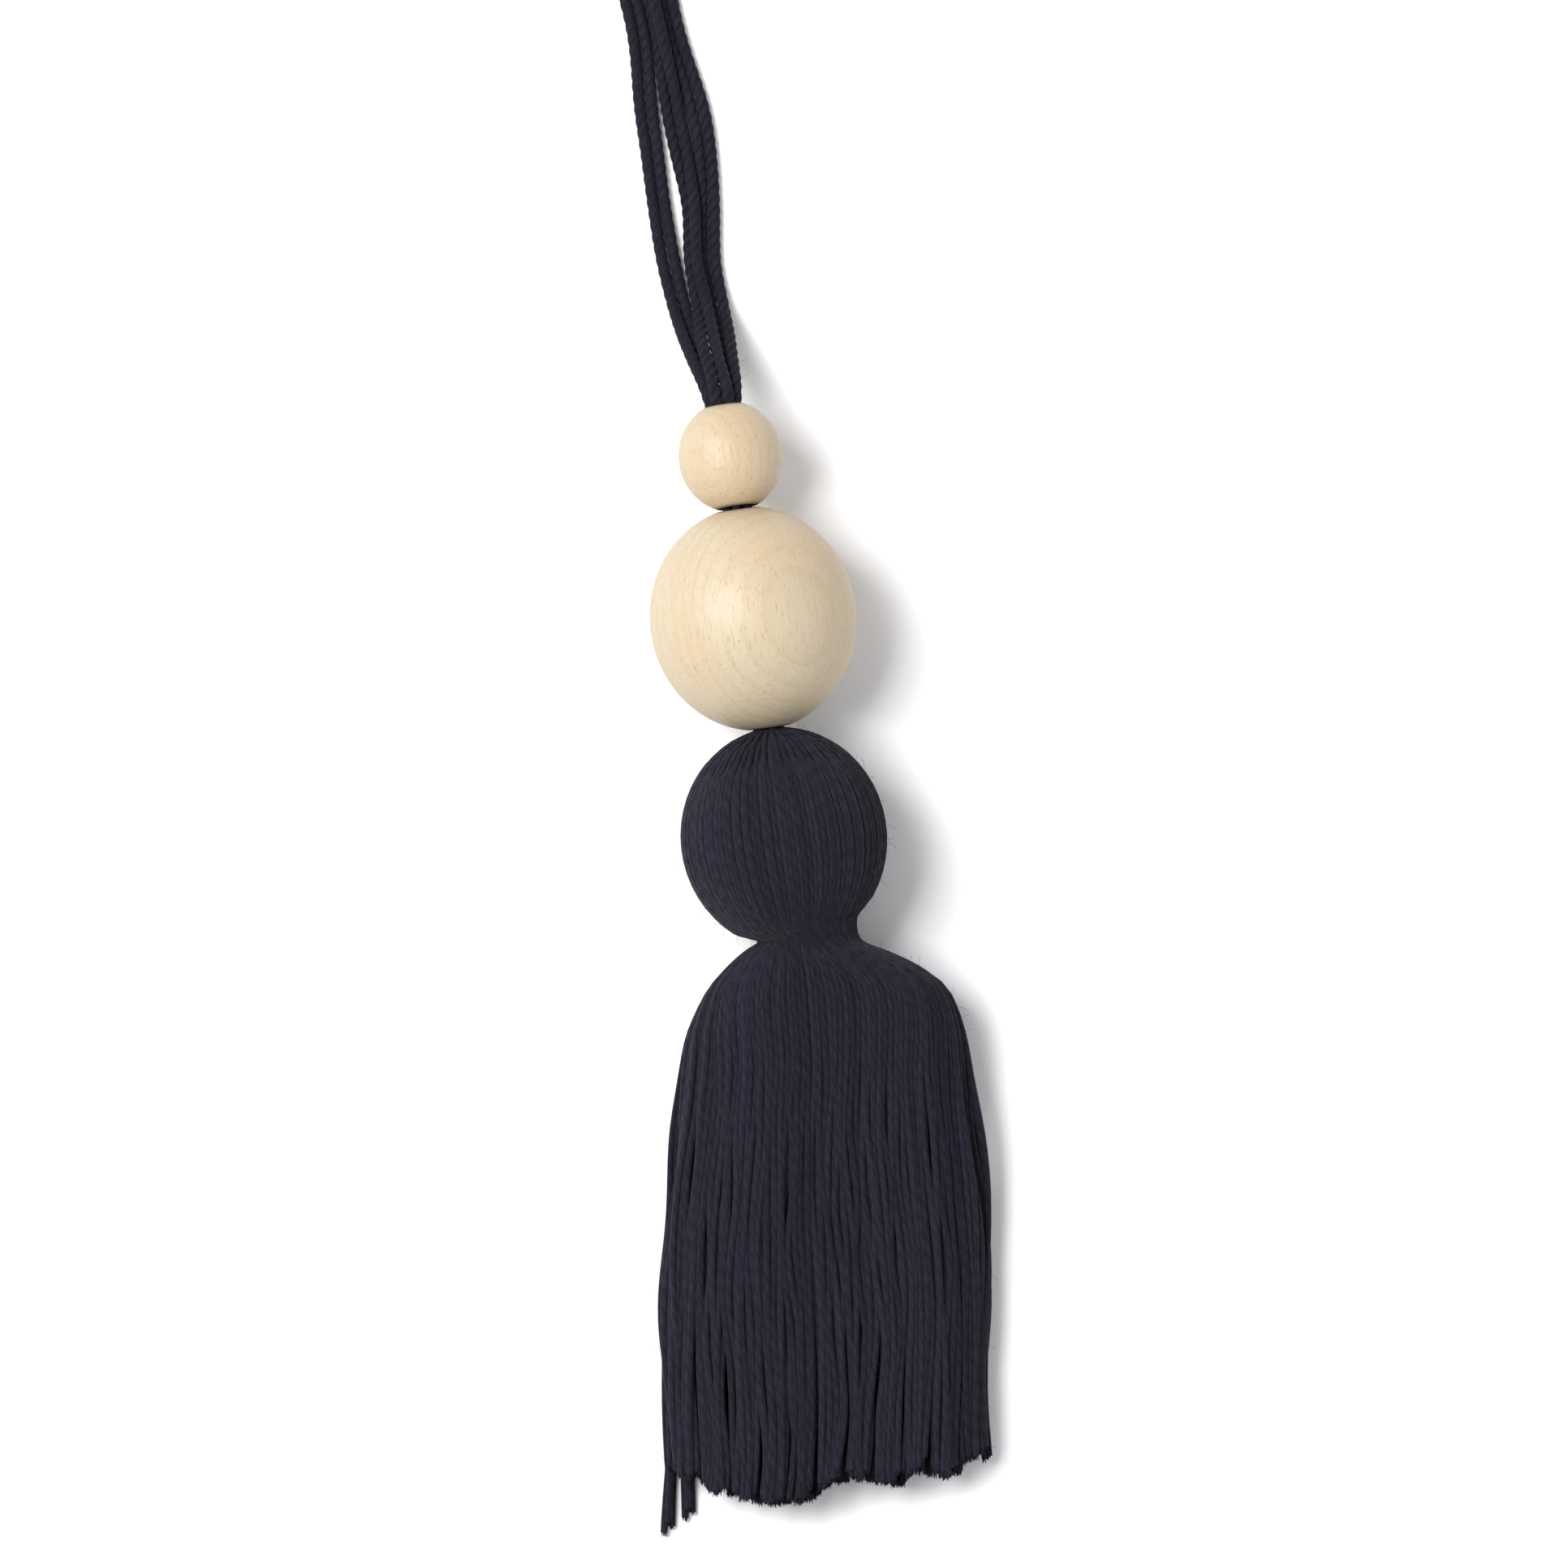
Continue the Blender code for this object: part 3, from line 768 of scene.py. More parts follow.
@dataclass(frozen=True)
class Stack:
    """The line of the head and the two beads, and the sizes of their holes."""

    thread_diameter: float = 1.1 * MM
    clearance: float = 0.3 * MM
    lean: float = math.radians(8)
    dip: float = math.radians(5)
    head_radius: float = 12.5 * MM
    head_half: float = 13.2 * MM
    head_sink: float = 0.5 * MM
    large_radius: float = 12.5 * MM
    large_half: float = 13.2 * MM
    small_radius: float = 6.3 * MM
    small_half: float = 6.0 * MM
    rim_width: float = 0.45 * MM

    @property
    def thread_ring(self) -> float:
        """The radius at which the threads lie round the bundle's middle."""
        return self.thread_diameter + self.clearance

    @property
    def hole_radius(self) -> float:
        """The radius of both beads' holes."""
        return self.thread_ring + self.thread_diameter / 2 + 0.4 * MM

    @property
    def axis(self) -> Vector:
        """The direction from the head to the small bead."""
        return Vector((-math.sin(self.lean), math.cos(self.lean), 0))

    @property
    def dipped_axis(self) -> Vector:
        """The direction of the small bead's hole, which dips to the table."""
        level = self.axis * math.cos(self.dip)
        return Vector((level.x, level.y, -math.sin(self.dip)))

    @property
    def head_centre(self) -> Vector:
        """The middle of the head."""
        return Vector((0, 0, self.head_radius - self.head_sink))

    @property
    def large_centre(self) -> Vector:
        """The middle of the large bead."""
        away = self.head_half + self.large_half + self.clearance
        return self.axis * away + Vector((0, 0, self.large_radius))

    @property
    def hinge_gap(self) -> float:
        """The gap on the axis between the beads, which leaves room for the small one's dip."""
        return self.clearance + (self.hole_radius + self.rim_width) * math.sin(self.dip)

    @property
    def meeting(self) -> Vector:
        """The outer end of the large bead's hole."""
        return self.large_centre + self.axis * self.large_half

    @property
    def small_centre(self) -> Vector:
        """The middle of the small bead."""
        return self.meeting + self.dipped_axis * (self.small_half + self.hinge_gap)

    @property
    def exit_point(self) -> Vector:
        """The outer end of the small bead's hole."""
        return self.small_centre + self.dipped_axis * self.small_half


# Sub-assemblies


@dataclass
class WoodenBead:
    """A turned bead with an eased rim at each end of its hole."""

    name: str
    radius: float
    half_length: float
    centre: Vector
    axis: Vector
    stack: Stack
    around: int = 96
    lengthways: int = 56
    hole_rings: int = 6
    hole_radius: float = 2.18 * MM
    rim_width: float = 0.22 * MM
    unevenness: float = 0.05 * MM
    seed: int = 1

    def profile(self) -> list[tuple[float, float]]:
        """Works out the section of the bead, from the top rim round and back up the hole.

        The hole is drawn close round its threads, as theirs is a soft bundle that fills it.

        Returns:
            Radius and height of each point.
        """
        solid_rim = self.stack.hole_radius + self.stack.rim_width
        full_half = self.half_length / math.sqrt(1 - (solid_rim / self.radius) ** 2)
        first = math.asin((self.hole_radius + self.rim_width) / self.radius)
        points = []
        for i in range(self.lengthways):
            angle = first + (math.pi - 2 * first) * i / (self.lengthways - 1)
            points.append((self.radius * math.sin(angle), full_half * math.cos(angle)))
        end = points[0][1]
        ease = [(self.hole_radius + self.rim_width * 0.35, end - self.rim_width * 0.25),
                (self.hole_radius, end - self.rim_width)]
        points += [(r, -z) for r, z in ease]
        wall = end - self.rim_width
        points += [(self.hole_radius, -wall + 2 * wall * i / self.hole_rings)
                   for i in range(1, self.hole_rings)]
        points += ease[::-1]
        return points

    def mesh(self) -> Mesh:
        """Turns the section round the hole, a little unevenly, and sets it in its place."""
        dice = random.Random(self.seed)
        waves = [(dice.randint(2, 5), dice.uniform(0, math.tau), dice.uniform(0, math.tau))
                 for _ in range(3)]
        turn = UP.rotation_difference(self.axis).to_matrix()
        section = self.profile()
        rings = []
        for step in range(self.around):
            angle = math.tau * step / self.around
            ring = []
            for radius, height in section:
                level = math.pi * height / self.half_length
                uneven = sum(math.sin(count * angle + phase) * math.cos(level + shift)
                             for count, phase, shift in waves)
                outer = (radius - self.hole_radius) / (self.radius - self.hole_radius)
                out = radius - self.unevenness * (0.5 + uneven / 6) * max(0, outer)
                point = Vector((out * math.cos(angle), out * math.sin(angle), height))
                ring.append(self.centre + turn @ point)
            rings.append(ring)
        return skin(self.name, rings, joined=True)

    def build(self, finish: WoodFinish, effect: NodeTree, node: str) -> Object:
        """Makes the bead.

        Args:
            finish: its wood.
            effect: the group from wood_effect.
            node: the CAD node that it stands for.

        Returns:
            The piece.
        """
        piece = put_in_scene(self.name, self.mesh())
        piece.data.materials.append(finish.material(effect, self.centre, self.axis,
                                                    self.hole_radius))
        return dress(piece, Slot.WOOD, node)


@dataclass
class HangingThreads:
    """The looped threads that leave the small bead, and their run through both beads."""

    stack: Stack
    route_columns: tuple = ("along", "x", "z", "a", "b", "c", "f", "d", "e")
    route: tuple = (
        (0.0, 0.0, 0.0, -1.40, -0.70, -0.70, 0.70, 0.70, 1.40),
        (3.0, -0.5, -0.7, -1.95, -0.77, -0.75, 0.75, 0.77, 1.95),
        (5.5, -1.25, -2.0, -2.35, -1.05, -0.75, 0.75, 1.05, 2.35),
        (9.0, -2.15, -4.8, -2.88, -1.52, -0.65, 0.87, 1.45, 2.80),
        (13.0, -3.1, -8.5, -3.18, -1.74, -0.18, 1.00, 1.50, 2.95),
        (18.0, -4.1, -10.6, -3.40, -1.85, -0.05, 0.85, 1.55, 3.05),
        (24.6, -4.7, -10.8, -3.85, -2.40, 0.30, 1.15, 2.05, 3.55),
        (31.0, -5.5, -10.8, -3.90, -2.45, -0.35, 1.08, 2.50, 3.95),
        (36.6, -6.3, -10.8, -3.90, -2.40, -0.70, 0.78, 2.30, 3.85),
        (44.6, -7.95, -10.8, -2.95, -1.52, -0.10, 0.68, 1.45, 2.90),
        (50.7, -9.2, -10.8, -3.10, -1.68, -0.25, 0.50, 1.33, 2.78),
        (56.0, -10.5, -10.8, -3.95, -2.35, -0.75, 0.75, 2.25, 3.80),
        (61.0, -11.6, -10.8, -4.40, -2.75, -1.05, 0.75, 2.50, 4.15),
    )
    settle_columns: tuple = ("along", "share", "lift_f")
    settle: tuple = (
        (0.0, 0.0, 0.0),
        (2.5, 0.0, 0.0),
        (9.0, 0.35, 0.35),
        (14.0, 0.85, 1.25),
        (19.0, 1.0, 1.3),
        (24.6, 1.0, 1.3),
        (28.0, 1.0, 0.8),
        (31.5, 1.0, 0.0),
        (35.0, 1.0, 0.0),
        (39.5, 1.0, 0.95),
        (44.6, 1.0, 1.3),
        (50.7, 1.0, 1.3),
        (56.0, 1.0, 0.75),
        (60.0, 1.0, 0.0),
        (61.0, 1.0, 0.0),
    )
    hole_angles: tuple = (("a", 180), ("b", 240), ("c", 120), ("f", 60), ("d", 300), ("e", 0))
    loops: tuple = (
        ("loop_inner", "c", "f", -13.0 * MM, 66.9 * MM, 3.0 * MM, 0.42),
        ("loop_middle", "b", "d", -13.5 * MM, 69.0 * MM, 5.15 * MM, 0.60),
        ("loop_outer", "a", "e", -14.1 * MM, 71.0 * MM, 7.15 * MM, 0.50),
    )
    table_gap: float = 0.03 * MM
    loop_seat: float = 0.6 * MM
    leg_points: int = 64
    leg_crowding: float = 1.15
    turn_points: int = 17
    joining_points: int = 7
    easing_passes: int = 2
    sides: int = 15
    lobes: int = 3
    lobe_depth: float = 0.13
    swollen_thickness: float = 1.5 * MM
    seat_thickness: float = 1.6 * MM
    seat_reach: float = 18 * MM
    turns_per_metre: float = 235.0
    points_per_turn: int = 14
    bundle_turn: float = math.radians(50)
    bundle_depth: float = 0.9 * MM
    bundle_swelling: float = 1.04
    bundle_sides: int = 9

    def hole_place(self, name: str, centre: Vector, axis: Vector, turn: float = 0) -> Vector:
        """Works out where a thread lies in the round bundle.

        Args:
            name: the thread.
            centre: a point on the bundle's middle line.
            axis: the bundle's direction there.
            turn: how far the bundle has wound.

        Returns:
            The middle of the thread.
        """
        across = axis.cross(UP).normalized()
        up = across.cross(axis).normalized()
        angle = math.radians(dict(self.hole_angles)[name]) + turn
        return centre + (across * math.cos(angle) + up * math.sin(angle)) * self.stack.thread_ring

    def thread_point(self, name: str, along: float) -> Vector:
        """Works out a thread's middle at a distance from the small bead's outer end."""
        exit_point = self.stack.exit_point
        row = read_table(self.route, self.route_columns, along)
        settle = read_table(self.settle, self.settle_columns, along)
        share = clamp(settle["share"] / MM)
        angle = math.radians(dict(self.hole_angles)[name])
        held = exit_point.z + row["z"] + math.sin(angle) * self.stack.thread_ring
        floor = self.table_gap + self.swollen_thickness / 2
        floor += max(0.0, settle["lift_f"]) if name == "f" else 0
        height = held * (1 - share) + floor * share
        return Vector((exit_point.x + row["x"] + row[name], exit_point.y + along,
                       max(floor, height)))

    def loop_points(self, left: str, right: str, turn_aside: float, turn_along: float,
                    turn_radius: float) -> list[Vector]:
        """Works out one loop's route, out along one thread, round its turn and back.

        Args:
            left: the thread that goes out.
            right: the thread that comes back.
            turn_aside: how far the turn's middle is to the side of the small bead's outer end.
            turn_along: how far it is past that end.
            turn_radius: the turn's radius.

        Returns:
            The points of its middle line.
        """
        exit_point = self.stack.exit_point
        seat = exit_point - self.stack.dipped_axis * self.loop_seat
        last = self.route[-1][0] * MM
        legs = []
        for name in (left, right):
            leg = [self.hole_place(name, seat, self.stack.dipped_axis)]
            for i in range(1, self.leg_points):
                share = (i / (self.leg_points - 1)) ** self.leg_crowding
                leg.append(self.thread_point(name, last * share))
            legs.append(leg)
        middle = Vector((exit_point.x + turn_aside, exit_point.y + turn_along,
                         self.table_gap + self.swollen_thickness / 2))
        start = self.meeting_angle(legs[0][-1], middle, turn_radius, -1) + math.tau
        end = self.meeting_angle(legs[1][-1], middle, turn_radius, 1)
        turn = []
        for i in range(self.turn_points):
            angle = start + (end - start) * i / (self.turn_points - 1)
            turn.append(middle + Vector((math.cos(angle), math.sin(angle), 0)) * turn_radius)
        for leg, meeting in ((legs[0], turn[0]), (legs[1], turn[-1])):
            count = self.joining_points
            leg += [leg[-1].lerp(meeting, i / count) for i in range(1, count)]
        line = legs[0] + turn + legs[1][::-1]
        for _ in range(self.easing_passes):
            eased = [(before + here * 2 + after) / 4
                     for before, here, after in zip(line, line[1:], line[2:])]
            line = [line[0], *eased, line[-1]]
        return line

    def meeting_angle(self, point: Vector, middle: Vector, radius: float, side: int) -> float:
        """Works out where a straight thread meets its turn smoothly.

        Args:
            point: the end of the thread's leg.
            middle: the middle of the turn's circle.
            radius: the circle's radius.
            side: -1 for the left leg, 1 for the right.

        Returns:
            The angle on the circle.
        """
        away = point - middle
        spread = math.acos(radius / math.hypot(away.x, away.y))
        return math.atan2(away.y, away.x) + side * spread

    def spaced(self, line: list[Vector]) -> list[Vector]:
        """Spaces a route's points evenly, close enough to show the thread's winding.

        Args:
            line: the route.

        Returns:
            Points on a smooth curve through it.
        """
        step = 1 / (self.turns_per_metre * self.points_per_turn)
        lengths = [0.0]
        for here, there in zip(line, line[1:]):
            lengths.append(lengths[-1] + (there - here).length)
        count = int(lengths[-1] / step)
        spaced = []
        row = 0
        for i in range(count + 1):
            at = lengths[-1] * i / count
            while row < len(line) - 2 and at > lengths[row + 1]:
                row += 1
            share = (at - lengths[row]) / (lengths[row + 1] - lengths[row])
            before, here = line[max(0, row - 1)], line[row]
            there, after = line[row + 1], line[min(len(line) - 1, row + 2)]
            bend = share * (1 - share) * 0.5
            chord = here.lerp(there, share)
            pull = (here - before) * (1 - share) - (after - there) * share
            flat = (there - here) * (1 - 2 * share)
            spaced.append(chord + (pull - flat) * bend)
        return spaced

    @property
    def diameter(self) -> float:
        """The soft thread's middling diameter, between its lobes' tops and their grooves."""
        return self.swollen_thickness * (1 - self.lobe_depth / 2)

    def swelling(self, points: list[Vector]) -> list[float]:
        """Works out how thick a loop is along its route, plumper where the bead gathers it.

        Args:
            points: the loop's route, from one seat in the bead to the other.

        Returns:
            The thickness at each point.
        """
        found = []
        for point in points:
            out = (point - self.stack.exit_point).dot(self.stack.axis)
            share = smooth_step(out / self.seat_reach)
            found.append(self.seat_thickness
                         + (self.swollen_thickness - self.seat_thickness) * share)
        return found

    def build_loops(self, tree: NodeTree, finish: Material) -> list[Object]:
        """Makes the three loops.

        Args:
            tree: the tree from yarn_tree.
            finish: the threads' material.

        Returns:
            The pieces.
        """
        made = []
        for node, left, right, turn_aside, turn_along, turn_radius, tone in self.loops:
            points = self.spaced(self.loop_points(left, right, turn_aside, turn_along,
                                                  turn_radius))
            lines = YarnLines()
            lines.add(points, self.swelling(points), tone)
            piece = lines.yarn(f"thread_{node}", tree, Sides=self.sides, Lobes=self.lobes,
                               Lobe_Depth=self.lobe_depth, Turns_per_Metre=self.turns_per_metre,
                               Finish=finish)
            dress(piece, Slot.YARN, node)
            made.append(piece)
        return made

    def build_bundle(self, tree: NodeTree, finish: Material) -> Object:
        """Makes the threads inside the beads, wound a little round each other.

        Args:
            tree: the tree from yarn_tree.
            finish: the threads' material.

        Returns:
            The piece.
        """
        stack = self.stack
        end = stack.exit_point - stack.dipped_axis * self.loop_seat
        core = [stack.head_centre + stack.axis * (stack.head_half - self.bundle_depth),
                stack.large_centre, stack.meeting + stack.axis * stack.hinge_gap / 2,
                stack.small_centre, end]
        core[0].z = core[1].z
        directions = [stack.axis, stack.axis, (stack.axis + stack.dipped_axis).normalized(),
                      stack.dipped_axis, stack.dipped_axis]
        lines = YarnLines()
        for number, (name, _) in enumerate(self.hole_angles):
            line = [self.hole_place(name, centre, axis,
                                    -self.bundle_turn * (1 - i / (len(core) - 1)))
                    for i, (centre, axis) in enumerate(zip(core, directions))]
            points = self.spaced(line)
            thickness = stack.thread_diameter * self.bundle_swelling
            lines.add(points, [thickness] * len(points), 0.3 + 0.1 * number)
        piece = lines.yarn("threads_in_beads", tree, Sides=self.bundle_sides, Lobes=self.lobes,
                           Lobe_Depth=self.lobe_depth, Turns_per_Metre=self.turns_per_metre,
                           Finish=finish)
        return dress(piece, Slot.YARN, "bead_threads")


@dataclass(frozen=True)
class Spot:
    """Where a strand lies in the hank's round section, and what sets it apart."""

    angle: float
    out: float = 1.0
    slant: float = 0.0
    depth: float = 0.0
    bow: float = 0.0


@dataclass
class YarnTassel:
    """The hank of yarn: a ball head, a pinched neck, and a skirt cut at its end."""

    stack: Stack
    # Stations of the whole hank from the head's pole down. Heights are those of its outside at
    # the middle and where its two sides meet, and the powers say how flat its faces are.
    columns: tuple = ("down", "x", "y", "lean", "half_width", "low", "edge", "high",
                      "top_power", "bottom_power", "share")
    below_neck: tuple = (
        # y, x, half_width, low, edge, high, top_power, bottom_power, share of thickness
        (-12.5, 3.2, 6.3, 4.7, 10.8, 16.9, 2.0, 2.0, 0.72),
        (-13.9, 3.95, 8.9, 3.2, 10.1, 17.1, 2.0, 2.1, 0.77),
        (-15.6, 4.75, 11.6, 1.9, 9.3, 17.2, 2.1, 2.3, 0.84),
        (-18.0, 5.3, 14.3, 0.9, 8.2, 17.0, 2.2, 2.6, 0.92),
        (-21.0, 5.3, 15.9, 0.3, 6.9, 16.3, 2.3, 3.0, 0.98),
        (-24.6, 5.1, 17.1, 0.1, 5.6, 15.3, 2.4, 3.5, 1.0),
        (-30.0, 5.0, 17.8, 0.05, 4.4, 13.7, 2.5, 4.0, 1.0),
        (-42.0, 5.1, 18.8, 0.05, 3.4, 11.7, 2.6, 5.0, 1.0),
        (-60.0, 5.3, 19.9, 0.05, 2.9, 9.9, 2.6, 6.0, 1.0),
        (-86.0, 5.6, 21.1, 0.05, 2.6, 8.9, 2.6, 6.0, 1.0),
    )
    head_rings: int = 12
    head_first: float = math.radians(10)
    head_last: float = math.radians(143)
    pole_share: float = 0.5
    cut_columns: tuple = ("x", "y")
    cut_edge: tuple = (
        (-21.0, -76.2),
        (-15.5, -77.8),
        (-11.0, -79.3),
        (-6.5, -80.0),
        (-3.5, -79.4),
        (0.0, -77.4),
        (2.8, -76.5),
        (8.0, -77.3),
        (12.0, -76.3),
        (16.0, -76.1),
        (20.0, -74.0),
    )
    # The two thin tufts left long at the left of the cut edge: x where a thread leaves the
    # skirt, x and y of its end, and how high it lies.
    long_threads: tuple = (
        (-13.6, -14.4, -84.2, 0.75),
        (-13.0, -13.5, -83.4, 0.6),
        (-13.2, -13.9, -82.9, 1.3),
        (-11.9, -12.05, -82.4, 0.65),
        (-11.2, -11.25, -81.7, 0.6),
        (-11.6, -11.7, -81.2, 1.25),
    )
    long_start: tuple[float, float] = (-60.0 * MM, 1.7 * MM)
    strays: tuple = ((3.02, -0.8), (3.3, -0.5), (0.12, 0.9), (6.2, 0.6), (2.85, -0.4), (0.3, 0.5))
    sway: float = 0.8 * MM
    sway_start: float = -20.5 * MM
    sway_length: float = 55 * MM
    sway_width: float = 9 * MM
    long_points: int = 16
    long_bend: float = 0.15 * MM
    thickness: float = 0.88 * MM
    outer_strands: int = 118
    under_strands: int = 110
    inner_strands: int = 320
    spread_at: float = 34 * MM
    outer_starts: tuple = (0.0, 5.5 * MM, 2.6 * MM, 6.5 * MM)
    under_start: float = 4.5 * MM
    inner_out: float = 0.93
    inner_start: float = -2 * MM
    loose_start: float = -1 * MM
    neck_reach: float = 3.2 * MM
    neck_crowding: float = 0.4
    outer_step: float = 1.45 * MM
    under_step: float = 1.8 * MM
    inner_step: float = 4.6 * MM
    raggedness: float = 0.4 * MM
    locks: int = 11
    lock_pull: float = 0.3
    lock_scallop: float = 1.1 * MM
    lock_reach: float = 26 * MM
    turning_reach: float = 16 * MM
    rising_reach: float = 3.5 * MM
    wave_start: float = 3 * MM
    wave_reach: float = 22 * MM
    cut_narrowing: float = 0.88
    table_gap: float = 0.03 * MM
    sides: int = 8
    under_sides: int = 6
    inner_sides: int = 5
    fray_sides: int = 3
    frayed_fibres: int = 6
    fray_aside: float = 0.3 * MM
    fray_reach: tuple[float, float] = (0.12 * MM, 0.6 * MM)
    fray_root: float = 0.4 * MM
    fray_lowest: float = 0.12 * MM
    fray_thickness: tuple[float, ...] = (0.2 * MM, 0.16 * MM, 0.07 * MM)
    core_inset: float = 0.95 * MM
    core_reach: float = 11 * MM
    core_rings: int = 40
    core_around: int = 64
    seed: int = 11

    def __post_init__(self) -> None:
        """Works out the stations and how the strands spread round the flat skirt."""
        self.stations = self.all_stations()
        self.neck = self.stations[self.head_rings][0] * MM
        self.spread = self.spread_table()
        self.tips: list[tuple[Vector, Vector, float]] = []

    def all_stations(self) -> tuple:
        """Joins the head's rings and the rows below the neck into one table, in millimetres."""
        stack = self.stack
        rows = []
        down = 0.0
        step = (self.head_last - self.head_first) / (self.head_rings - 1)
        for i in range(self.head_rings):
            angle = self.head_first + step * i
            centre = stack.head_centre + stack.axis * (stack.head_half * math.cos(angle))
            radius = stack.head_radius * math.sin(angle) / MM
            middle = centre.z / MM
            pinch = self.pole_share + (1 - self.pole_share) * math.sin(angle) ** 0.8
            rows.append((down, centre.x / MM, centre.y / MM, math.degrees(stack.lean), radius,
                         middle - radius, middle, middle + radius, 2.0, 2.0, pinch))
            down += stack.head_radius * step / MM
        last_y = rows[-1][2]
        down -= stack.head_radius * step / MM
        for y, x, half_width, low, edge, high, top, bottom, share in self.below_neck:
            down += last_y - y
            last_y = y
            rows.append((down, x, y, 0.0, half_width, low, edge, high, top, bottom, share))
        return tuple(rows)

    def station(self, down: float) -> dict[str, float]:
        """Reads all the stations' values at a distance down the hank, in metres."""
        row = read_table(self.stations, self.columns, down)
        for label in ("lean", "top_power", "bottom_power", "share"):
            row[label] /= MM
        return row

    def place(self, row: dict[str, float], across: float, level: float,
              inset: float) -> Vector:
        """Works out a point in a cross-section of the hank.

        Args:
            row: the station.
            across: from -1 at the left side to 1 at the right.
            level: from -1 on the underside to 1 on top.
            inset: how far the point stays inside the outside.

        Returns:
            The point.
        """
        side = min(1, abs(across))
        room = max(0.0, 1 - side ** row["top_power"]) ** 0.5
        top = row["edge"] + (row["high"] - inset - row["edge"]) * room
        room = max(0.0, 1 - side ** row["bottom_power"]) ** 0.5
        bottom = row["edge"] - (row["edge"] - row["low"] - inset) * room
        height = bottom + (top - bottom) * (level + 1) / 2
        lean = math.radians(row["lean"])
        sideways = Vector((math.cos(lean), math.sin(lean), 0)) * across * (
            row["half_width"] - inset)
        return Vector((row["x"], row["y"], 0)) + sideways + UP * height

    def spread_table(self) -> list[float]:
        """Works out the angles that lie evenly round the skirt's flat outline.

        Returns:
            The length round the outline, at each degree, as a share of the whole.
        """
        row = self.station(self.neck + self.spread_at)
        points = []
        for degree in range(361):
            angle = math.radians(degree)
            level = 1.0 if degree <= 180 else -1.0
            points.append(self.place(row, math.cos(angle), level, self.thickness / 2))
        lengths = [0.0]
        for here, there in zip(points, points[1:]):
            lengths.append(lengths[-1] + (there - here).length)
        return [length / lengths[-1] for length in lengths]

    def even_angle(self, angle: float) -> float:
        """Turns an angle round the head into the one that is evenly spread round the skirt."""
        share = angle / math.tau % 1
        degree = 0
        while degree < 359 and self.spread[degree + 1] < share:
            degree += 1
        span = self.spread[degree + 1] - self.spread[degree]
        return math.radians(degree + (share - self.spread[degree]) / max(span, 1e-9))

    def lock_side(self, side: float, upper: bool) -> float:
        """Works out the middle of the lock that a strand ends in, from -1 to 1."""
        offset = 0.0 if upper else 0.5
        number = math.floor((side + 1) / 2 * self.locks + offset)
        return (number + 0.5 - offset) / self.locks * 2 - 1

    def cut_down(self, side: float, lock_side: float, dice: random.Random) -> float:
        """Works out how far down the hank a strand is cut.

        Args:
            side: the strand's place across the skirt, from -1 to 1.
            lock_side: the middle of its lock.
            dice: the source of chance.

        Returns:
            The distance down, in metres.
        """
        half_width = self.below_neck[-1][2] * MM
        row = read_table(self.cut_edge, self.cut_columns, side * half_width)
        own = random.Random(round(lock_side * 100) + self.seed).uniform(-0.5, 0.5)
        rounding = 1 - ((side - lock_side) * self.locks) ** 2
        cut = row["y"] + dice.uniform(-1, 1) * self.raggedness
        cut -= (rounding - 0.6 + own) * self.lock_scallop
        return self.neck + self.below_neck[0][0] * MM - cut

    def stops(self, start: float, end: float, step: float) -> list[float]:
        """Spaces a strand's points, closer together at the neck's sharp turn.

        Args:
            start: how far down the hank the strand starts.
            end: how far down it ends.
            step: the distance between two points away from the neck.

        Returns:
            How far down each point is.
        """
        found = [start]
        while found[-1] < end - step * 0.6:
            near = abs(found[-1] - self.neck) < self.neck_reach
            found.append(found[-1] + (step * self.neck_crowding if near else step))
        return [*found[:-1], end]

    def strand(self, lines: YarnLines, spot: Spot, start: float, step: float,
               dice: random.Random) -> None:
        """Adds one strand from its start to its cut end.

        Args:
            lines: the rows that it is added to.
            spot: where it lies.
            start: how far down the hank it starts. Past the pole it rises from under the others.
            step: the distance between its points.
            dice: the source of chance.
        """
        even = self.even_angle(spot.angle)
        turn = (even - spot.angle + math.pi) % math.tau - math.pi
        side = math.cos(even) * spot.out
        lock_side = self.lock_side(side, even < math.pi)
        end = self.cut_down(side, lock_side, dice)
        waves = [(dice.uniform(0.1, 0.38) * MM, dice.uniform(16, 44) * MM,
                  dice.uniform(0, math.tau)) for _ in range(2)]
        swell = dice.uniform(0.9, 1.1)
        tone = dice.random()
        line = []
        thickness = []
        for down in self.stops(start, end, step):
            row = self.station(down)
            below = smooth_step((down - self.neck) / self.turning_reach)
            on_head = math.sin(math.pi * min(1, down / self.neck))
            here = spot.angle + turn * below + spot.slant * on_head
            across = math.cos(here) * spot.out
            level = math.sin(here) * spot.out / math.sqrt(max(1e-6, 1 - across * across))
            near_end = smooth_step((down - end) / self.lock_reach + 1)
            across = clamp(across + (lock_side - across) * self.lock_pull * near_end, -1)
            wide = self.thickness * swell * row["share"]
            sunk = spot.depth
            if start > 0:
                rise = smooth_step((down - start) / self.rising_reach)
                sunk += self.thickness * (1 - rise)
            point = self.place(row, across, clamp(level, -1), wide / 2 + sunk)
            free = smooth_step((down - self.neck - self.wave_start) / self.wave_reach)
            reach, length, phase = waves[0]
            point.x += free * reach * math.sin(math.tau * down / length + phase)
            reach, length, phase = waves[1]
            point.z += free * reach * 0.6 * (math.sin(math.tau * down / length + phase) - 0.5)
            hanging = clamp((self.sway_start - point.y) / self.sway_length)
            point.x += self.sway * hanging * math.sin(
                math.tau * -point.y / self.sway_length + point.x / self.sway_width)
            if down > self.neck and spot.bow:
                share = (down - self.neck) / (end - self.neck)
                point.x += spot.bow * math.sin(math.pi * min(1, share * 1.15)) ** 2
